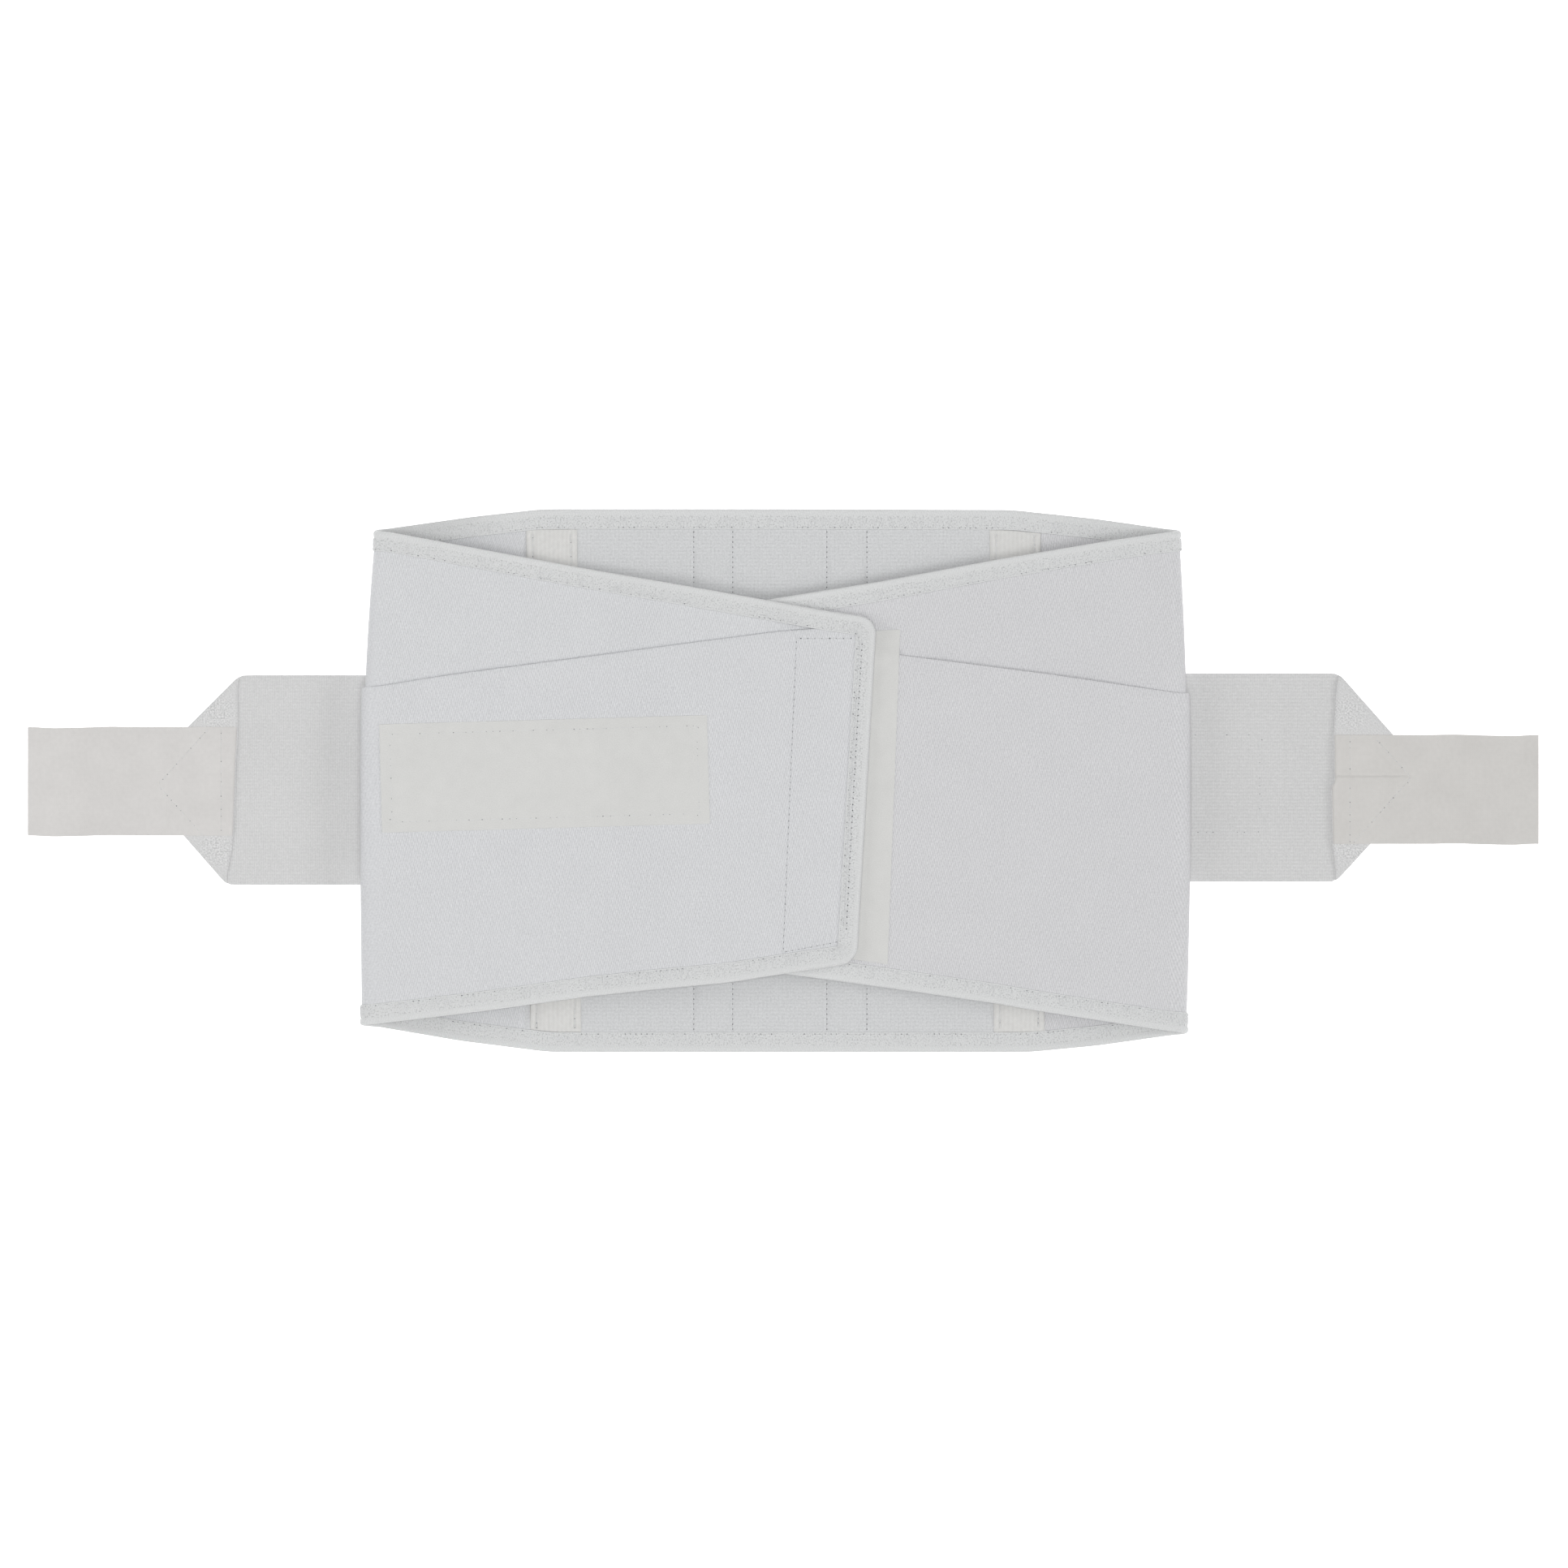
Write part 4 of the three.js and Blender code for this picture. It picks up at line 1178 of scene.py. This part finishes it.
# Tension straps
# Wide ribbed white elastic, sewn to the back's outside under the belt with a box of stitches. Each strap's
# end corners are folded in to a point, and the folded flaps lie on the strap under its hook tape.
STRAP_RISE = 1.3
STRAPS = {
    "left": {
        "sign": -1, "inner": 24.2, "corner_top": 261.2, "corner_bottom": 267.3, "point": 310.8,
        "top": 50.7, "bottom": -50.1, "descent": [206, 242], "puff": 0.5,
        "ribs": 0.65, "rows": 0.35, "dark": (186, 186, 186), "light": (222, 222, 222),
        "raw_edge": [
            [-50.1, 267.3], [-45, 267], [-35, 265], [-23, 263.8],
            [6, 262.9], [31, 261.7], [45, 262.2], [50.7, 261.2],
        ],
    },
    "right": {
        "sign": 1, "inner": 21, "corner_top": 267, "corner_bottom": 265.5, "point": 310.6,
        "top": 51.5, "bottom": -48.6, "descent": [233, 262], "puff": 1.3,
        # The right strap's colours are a shade darker than the left's: painted shade for light that falls
        # off towards the right.
        "ribs": 0.4, "rows": 0.6, "dark": (185, 185, 185), "light": (221, 221, 221),
        "raw_edge": [
            [-48.6, 265.5], [-44, 265.4], [-30, 263.7], [-3, 263.2],
            [0, 264.6], [24, 264.4], [46, 265.8], [51.5, 267],
        ],
    },
}
POINT_WIDTH = 1.6
FLAP_SEAT = 1.45
FLAP_TOP = 2.4
FLAP_EDGE = 1.1
UNDER_FLAPS = 6
ROUGH_SPOT = (272, 33)
ROUGH_REACH = 10
CORNER_EASE = 0.9
UNDER_NARROWING = 1.2
UNDER_START = 2.5
FLAP_FADE = 6
FLAP_ROUNDING = 0.7
TIP_FLOOR = 0.05
TIP_RIM = {"share": 0.015, "width": 0.3}
TIP_ROWS = 44
STRAP_COLUMNS = 70
STRAP_ROWS = 40
SLACK = {"height": 0.5, "across": 9, "up": 23, "end": 40}
RIB_PITCH = 1.08
ROW_PITCH = 1.72
FLOAT_PITCH = 1.6
SEWN_BOX = [5, 38]
BOX_STITCHES = {"pitch": 3.2, "rise": 0.1, "thread": 0.15, "hole": 0.32, "least": 0.3}


def strap_finish(name, strap):
    """Ribs across the strap and rows of threads along it, each as strong as the stretch shows it."""
    material, weave, x, y = start_finish(name, 0.88, 0.1)
    rib = wave(x / RIB_PITCH + 0.4 * patches(weave, 6))
    row = wave(y / ROW_PITCH + 0.4 * patches(weave, 6))
    height = (strap["ribs"] * rib + strap["rows"] * row) * (2 * patches(weave, 2.5))
    tint = 0.455 + 0.24 * height + 0.65 * uneven(weave, 0.9) + 0.15 * uneven(weave, 30)
    dark = display_colour(*strap["dark"])
    light = display_colour(*strap["light"])
    return end_finish(material, tint, dark, light, height, 0.06)


def flap_finish():
    """The strap's far side, on its folded flaps: smooth, with rough floats beside the hook tape."""
    material, weave, x, y = start_finish("strap_reverse", 0.9, 0.1)
    out = (x.math("ABSOLUTE", x) - ROUGH_SPOT[0]) / ROUGH_REACH
    up = (y.math("ABSOLUTE", y) - ROUGH_SPOT[1]) / ROUGH_REACH
    spot = x.math("MAXIMUM", 1 - out * out - up * up, 0.0)
    rough = uneven(weave, 0.8, 1.0) * (0.7 + 1.4 * spot)
    loose = wave((x + y) / FLOAT_PITCH + 1.5 * patches(weave, 2.5))
    tint = 0.55 + 0.15 * (loose - 0.5) + rough
    dark = display_colour(188, 188, 188)
    light = display_colour(225, 225, 225)
    return end_finish(material, tint, dark, light, 0.3 * loose + rough, 0.05)


FLAP_FINISH = flap_finish()


def strap_corner(strap, y):
    """Distance of the line between the strap's two folded corners."""
    share = (y - strap["bottom"]) / (strap["top"] - strap["bottom"])
    return strap["corner_bottom"] + (strap["corner_top"] - strap["corner_bottom"]) * share


def raw_edge(strap, y):
    """Distance of the flaps' raw edge, which faces the belt."""
    rows = np.array(strap["raw_edge"], float).T
    return np.interp(y, *rows)


def flap_lift(strap, past):
    """Height by which the flaps stand off the strap, at a distance past their raw edge."""
    return strap["puff"] * np.exp(-past / FLAP_FADE)


def strap_waves(strap, distance, y):
    """Height of the strap over the floor where it lies slack."""
    before_flaps = 1 - smoothstep(-SLACK["end"], 0, distance - strap_corner(strap, y))
    free = smoothstep(*strap["descent"], distance) * before_flaps
    return SLACK["height"] * free * (1 + np.sin(distance / SLACK["across"] + y / SLACK["up"]))


def strap_strip(strap):
    """Grids of the strap from its sewn end to just under its flaps, where it narrows with them."""
    half = CLOTH / 2
    middle = (strap["top"] + strap["bottom"]) / 2
    length = strap_corner(strap, middle) - strap["inner"]
    run, _ = rows_between(0, length + UNDER_FLAPS, STRAP_COLUMNS, half)
    run = np.unique(np.append(run, length))[:, None]
    y, rim = rows_between(strap["bottom"], strap["top"], STRAP_ROWS, half)
    under = np.maximum(run - length, 0)
    eased = CORNER_EASE * np.exp(-np.abs(run - length) / CORNER_EASE)
    narrowing = 2 * (UNDER_NARROWING * under + eased) / (strap["top"] - strap["bottom"])
    y = middle + (y - middle) * (1 - narrowing)
    share = np.minimum(run / length, 1)
    distance = strap["inner"] + (strap_corner(strap, y) - strap["inner"]) * share + under
    rise = STRAP_RISE * (1 - smoothstep(*strap["descent"], distance)) + strap_waves(strap, distance, y)
    thick = rounded(np.minimum(rim, np.minimum(run, length + UNDER_FLAPS - run)), half)
    return distance, y, rise + half - thick, rise + half + thick


def strap_tip(strap):
    """Grids of the strap's point: the strap and the flaps on it, folded over along both slanting edges."""
    middle = (strap["top"] + strap["bottom"]) / 2
    share, _ = rows_between(0, 1, TIP_ROWS, TIP_RIM["share"])
    eased = CORNER_EASE * np.exp(-share * (strap["point"] - strap["corner_top"]) / CORNER_EASE)
    low = strap["bottom"] + (middle - POINT_WIDTH / 2 - strap["bottom"]) * share + eased
    high = strap["top"] + (middle + POINT_WIDTH / 2 - strap["top"]) * share - eased
    y, rim = rows_between(low, high, TIP_ROWS, TIP_RIM["width"])
    row = (y - low[:, None]) / (high - low)[:, None]
    start = raw_edge(strap, strap["bottom"] + row * (strap["top"] - strap["bottom"]))
    distance = start + (strap["point"] - start) * share[:, None]
    folded = rounded(rim * FLAP_ROUNDING, CLOTH) / CLOTH
    past = distance - start
    edge = FLAP_SEAT + flap_lift(strap, past) * folded
    high = edge + (FLAP_TOP - FLAP_SEAT) * np.minimum(folded, smoothstep(0, FLAP_EDGE, past))
    low = edge + (TIP_FLOOR - edge) * np.minimum(folded, smoothstep(UNDER_START, UNDER_FLAPS, past))
    return distance, y, low, high


def tension_strap(name, strap):
    bodies = []
    ribbed_finish = strap_finish(f"{name}_elastic", strap)
    for grids, finish in ((strap_strip(strap), ribbed_finish), (strap_tip(strap), FLAP_FINISH)):
        distance, y, low, high = grids
        x = strap["sign"] * distance
        lower = np.stack([x, y, low], -1)
        upper = np.stack([x, y, high], -1)
        bodies.append(closed_sheet(name, lower, upper, np.stack([x, y], -1), finish))
    with bpy.context.temp_override(active_object=bodies[0], selected_editable_objects=bodies):
        bpy.ops.object.join()
    bodies[0].name = name
    return bodies[0]


for word, strap in STRAPS.items():
    piece = tension_strap(f"tension_strap_{word}", strap)
    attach(piece, "root")
    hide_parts(f"strap_{word}")
    near, far = (strap["inner"] + inset for inset in SEWN_BOX)
    top, bottom = strap["top"] - SEWN_BOX[0], strap["bottom"] + SEWN_BOX[0]
    distance, y = row_points([[near, top], [far, top], [far, bottom], [near, bottom], [near, top]])
    box = [flat_path(strap["sign"] * distance, y, STRAP_RISE, -1.0)]
    stitches = sewn(f"strap_stitches_{word}", STRAIGHT_STITCH, box, **BOX_STITCHES)
    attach(stitches, "root")


# Strap hook tapes
# Smooth white hook tape sewn on each strap's point with a triangle of stitches and a row along its inner
# end. Its free end lies on the floor.
HOOK_TAPE = 0.7
HOOK_EDGE = 0.04
HALF_REACH = cad_high.x / MM + 0.5
HOOK_SETBACK = 0.4
HOOK_DESCENT = 28
HOOK_COLUMNS = 90
HOOK_ROWS = 60
CREASE = {"at": 1.2, "height": 0.55, "below": 2.5, "above": 1.5}
CREASE_ROWS = np.linspace(-0.4, 1.8, 15)
SEWN_END = [292, 306]
SWELL = {"height": 0.35, "from_row": [0, 6], "from_rim": [1, 6]}
FREE_WAVES = {"height": 0.25, "across": 17, "up": 13, "from": [330, 362]}
EDGE_WAVES = {"height": 0.5, "across": 15, "width": 26, "from": [310, 330], "to": [350, 362]}
HOOK_STITCHES = {"pitch": 3.2, "rise": 0.05, "thread": 0.1, "hole": 0.32, "least": 0.3}
HOOK_ENDS = {
    "left": {
        "inner": 263.6, "top": 25.8, "bottom": -26.4, "crease": 0.0, "finish": HOOK_FINISH,
        "rows": [[[269.9, 24], [269.9, -22.5]], [[276.9, 24], [300.3, -2.1], [278.9, -26]]],
    },
    "right": {
        "inner": 265.2, "top": 22, "bottom": -30.4, "crease": 1.0,
        # The right hook tape's colours are darker than the left's: painted shade for light that falls off
        # towards the right.
        "finish": hook_finish("right_hook_tape_shaded", (193, 191, 188), (219, 217, 214)),
        "rows": [[[272.2, 20], [272.2, -28]], [[285.5, 19.3], [301.5, 1.4], [275, -28.7]]],
    },
}


def row_distance(distance, y, rows):
    """Distance of points from the nearest of some rows of stitches."""
    nearest = np.full(np.broadcast(distance, y).shape, np.inf)
    for row in rows:
        for (x0, y0), (x1, y1) in zip(row[:-1], row[1:]):
            along, up = x1 - x0, y1 - y0
            run = ((distance - x0) * along + (y - y0) * up) / (along ** 2 + up ** 2)
            run = np.clip(run, 0, 1)
            nearest = np.minimum(nearest, np.hypot(distance - x0 - run * along, y - y0 - run * up))
    return nearest


def hook_height(strap, hook, distance, y):
    """Height of the hook tape's lower face, from its seat on the flaps down to the floor."""
    slope = smoothstep(strap["point"] + 1, strap["point"] + 1 + HOOK_DESCENT, distance)
    fade = 1 - smoothstep(*SEWN_END, distance)
    past = distance - raw_edge(strap, y)
    flap = FLAP_SEAT + SEAT + (FLAP_TOP - FLAP_SEAT) * smoothstep(0, FLAP_EDGE, past)
    below = np.exp(-np.maximum(CREASE["at"] - y, 0) / CREASE["below"])
    crease = CREASE["height"] * below * (1 - smoothstep(0, CREASE["above"], y - CREASE["at"]))
    wavy = 1 + np.sin(distance / FREE_WAVES["across"] + y / FREE_WAVES["up"])
    waves = FREE_WAVES["height"] * wavy * smoothstep(*FREE_WAVES["from"], distance)
    rim = np.minimum(np.minimum(hook["top"] - y, y - hook["bottom"]), past)
    clear = smoothstep(*SWELL["from_row"], row_distance(distance, y, hook["rows"]))
    swell = SWELL["height"] * clear * fade * smoothstep(*SWELL["from_rim"], rim)
    return flap * (1 - slope) + flap_lift(strap, past) + hook["crease"] * crease * fade + waves + swell


def hook_end(name, strap, hook):
    half = HOOK_TAPE / 2
    run, rim_run = rows_between(0, HALF_REACH - hook["inner"], HOOK_COLUMNS, half)
    y, _ = rows_between(hook["bottom"], hook["top"], HOOK_ROWS, half)
    y = np.unique(np.append(y, CREASE["at"] + CREASE_ROWS))
    rim = np.minimum(y - hook["bottom"], hook["top"] - y)
    run, y = np.meshgrid(run, y, indexing="ij")
    start = raw_edge(strap, y) + HOOK_SETBACK
    distance = start + (HALF_REACH - start) * run / run.max()
    edge = smoothstep(0, EDGE_WAVES["width"], np.abs(y - (hook["top"] + hook["bottom"]) / 2))
    stretch = smoothstep(*EDGE_WAVES["from"], distance) * (1 - smoothstep(*EDGE_WAVES["to"], distance))
    y = y + EDGE_WAVES["height"] * edge * np.sin(distance / EDGE_WAVES["across"]) * stretch
    thick = HOOK_TAPE * smoothstep(0, HOOK_EDGE, np.minimum(rim_run[:, None], rim))
    seat = hook_height(strap, hook, distance, y)
    x = strap["sign"] * distance
    lower = np.stack([x, y, seat], -1)
    upper = np.stack([x, y, seat + thick], -1)
    return closed_sheet(name, lower, upper, np.stack([x, y], -1), hook["finish"])


for word, hook in HOOK_ENDS.items():
    strap = STRAPS[word]
    piece = hook_end(f"hook_end_{word}", strap, hook)
    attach(piece, "root")
    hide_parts(f"strap_hook_{word}")
    paths = []
    for row in hook["rows"]:
        distance, y = row_points(row)
        face = hook_height(strap, hook, distance, y) + HOOK_TAPE
        paths.append(flat_path(strap["sign"] * distance, y, face))
    stitches = sewn(f"hook_stitches_{word}", STRAIGHT_STITCH, paths, **HOOK_STITCHES)
    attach(stitches, "root")


# Strap loop patch
# A patch of soft loop tape on the far face of the right strap. It is sewn on all round near its cut edges,
# and part of its stitches show through on the strap beside the belt.
PATCH_ROW = [[196.6, 22], [228.9, 22], [228.9, -24.8], [200.9, -24.8]]
UNDER_PATCH_COUNTS = (40, 24)
UNDER_STITCHES = {"pitch": 3.6, "rise": 0.05, "thread": 0.1, "hole": 0.32, "least": 0.1}


def strap_patch():
    low, high = (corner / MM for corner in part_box("strap_loop_patch"))
    corners = [(high.x, high.y), (low.x, high.y), (low.x, low.y), (high.x, low.y)]
    x, y, rim = tape_grid(corners, *UNDER_PATCH_COUNTS)
    thick = rounded(rim, TAPE / 2)
    middle = (low.z + high.z) / 2
    lower = np.stack([x, y, middle - thick], -1)
    upper = np.stack([x, y, middle + thick], -1)
    return closed_sheet("strap_patch", lower, upper, np.stack([x, y], -1), LOOP_FINISH)


under_patch = strap_patch()
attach(under_patch, "root")
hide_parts("strap_loop_patch")

patch_low, patch_high = (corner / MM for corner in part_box("strap_loop_patch"))
left, right = patch_low.x + PATCH_HEM, patch_high.x - PATCH_HEM
bottom, top = patch_low.y + PATCH_HEM, patch_high.y - PATCH_HEM
far_row = [[right, top], [left, top], [left, bottom], [right, bottom], [right, top]]
under_rows = [
    flat_path(*row_points(PATCH_ROW), STRAP_RISE + CLOTH),
    flat_path(*row_points(far_row), patch_low.z + PATCH_THREAD_SINK, -1.0),
]
under_stitches = sewn("under_patch_stitches", STRAIGHT_STITCH, under_rows, **UNDER_STITCHES)
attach(under_stitches, "root")


# Floor, light and camera
# A bright white table that is lit from all round, a light close to the camera, soft ones from the belt's
# lower edge, from the right and from the left, and a camera straight above the belt.
PHOTO_SIDE = 0.752
CAMERA_HEIGHT = 5.0
CAMERA_CENTRE = (0.0004, -0.0016)
FLOOR_SIDE = 12.0
FLOOR_GAP = 0.0002

floor_mesh = bpy.data.meshes.new("floor")
reach = FLOOR_SIDE / 2
floor_level = cad_low.z - FLOOR_GAP
floor_corners = [(-reach, -reach), (reach, -reach), (reach, reach), (-reach, reach)]
floor_mesh.from_pydata([(x, y, floor_level) for x, y in floor_corners], [], [(0, 1, 2, 3)])
floor_finish = bpy.data.materials.new("white_table")
floor_finish.use_nodes = True
table = floor_finish.node_tree.nodes["Principled BSDF"]
table.inputs["Base Color"].default_value = (0.9, 0.9, 0.9, 1)
table.inputs["Roughness"].default_value = 0.8
table.inputs["Emission Color"].default_value = (1, 1, 1, 1)
table.inputs["Emission Strength"].default_value = 0.7
floor_mesh.materials.append(floor_finish)
floor = bpy.data.objects.new("floor", floor_mesh)
bpy.context.scene.collection.objects.link(floor)
floor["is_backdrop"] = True

sky = bpy.data.worlds.new("soft_room")
sky.use_nodes = True
sky.node_tree.nodes["Background"].inputs["Color"].default_value = (1, 1, 1, 1)
sky.node_tree.nodes["Background"].inputs["Strength"].default_value = 0.3
bpy.context.scene.world = sky

LIGHTS = {
    "key_light": {"size": 0.4, "energy": 120, "location": (-0.1, 0.05, 6.0)},
    "fill_light": {"size": 1.4, "energy": 47, "location": (0.4, -1.2, 5.2)},
    "low_light": {"size": 4.0, "energy": 240, "location": (9.6, -0.8, 6.4)},
    "side_light": {"size": 1.5, "energy": 10.5, "location": (-1.9, 0.2, 1.5)},
}
for name, light in LIGHTS.items():
    panel = bpy.data.lights.new(name, "AREA")
    panel.shape = "SQUARE"
    panel.size = light["size"]
    panel.energy = light["energy"]
    lamp = bpy.data.objects.new(name, panel)
    lamp.location = light["location"]
    lamp.rotation_mode = "QUATERNION"
    lamp.rotation_quaternion = (-lamp.location).to_track_quat("-Z", "Y")
    bpy.context.scene.collection.objects.link(lamp)

lens = bpy.data.cameras.new("camera")
lens.sensor_width = 36
lens.lens = lens.sensor_width * CAMERA_HEIGHT / PHOTO_SIDE
lens.clip_end = 100
camera = bpy.data.objects.new("camera", lens)
camera.location = (*CAMERA_CENTRE, CAMERA_HEIGHT + 0.01)
bpy.context.scene.collection.objects.link(camera)
bpy.context.scene.camera = camera
bpy.context.scene.view_settings.view_transform = "Standard"

low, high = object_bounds()
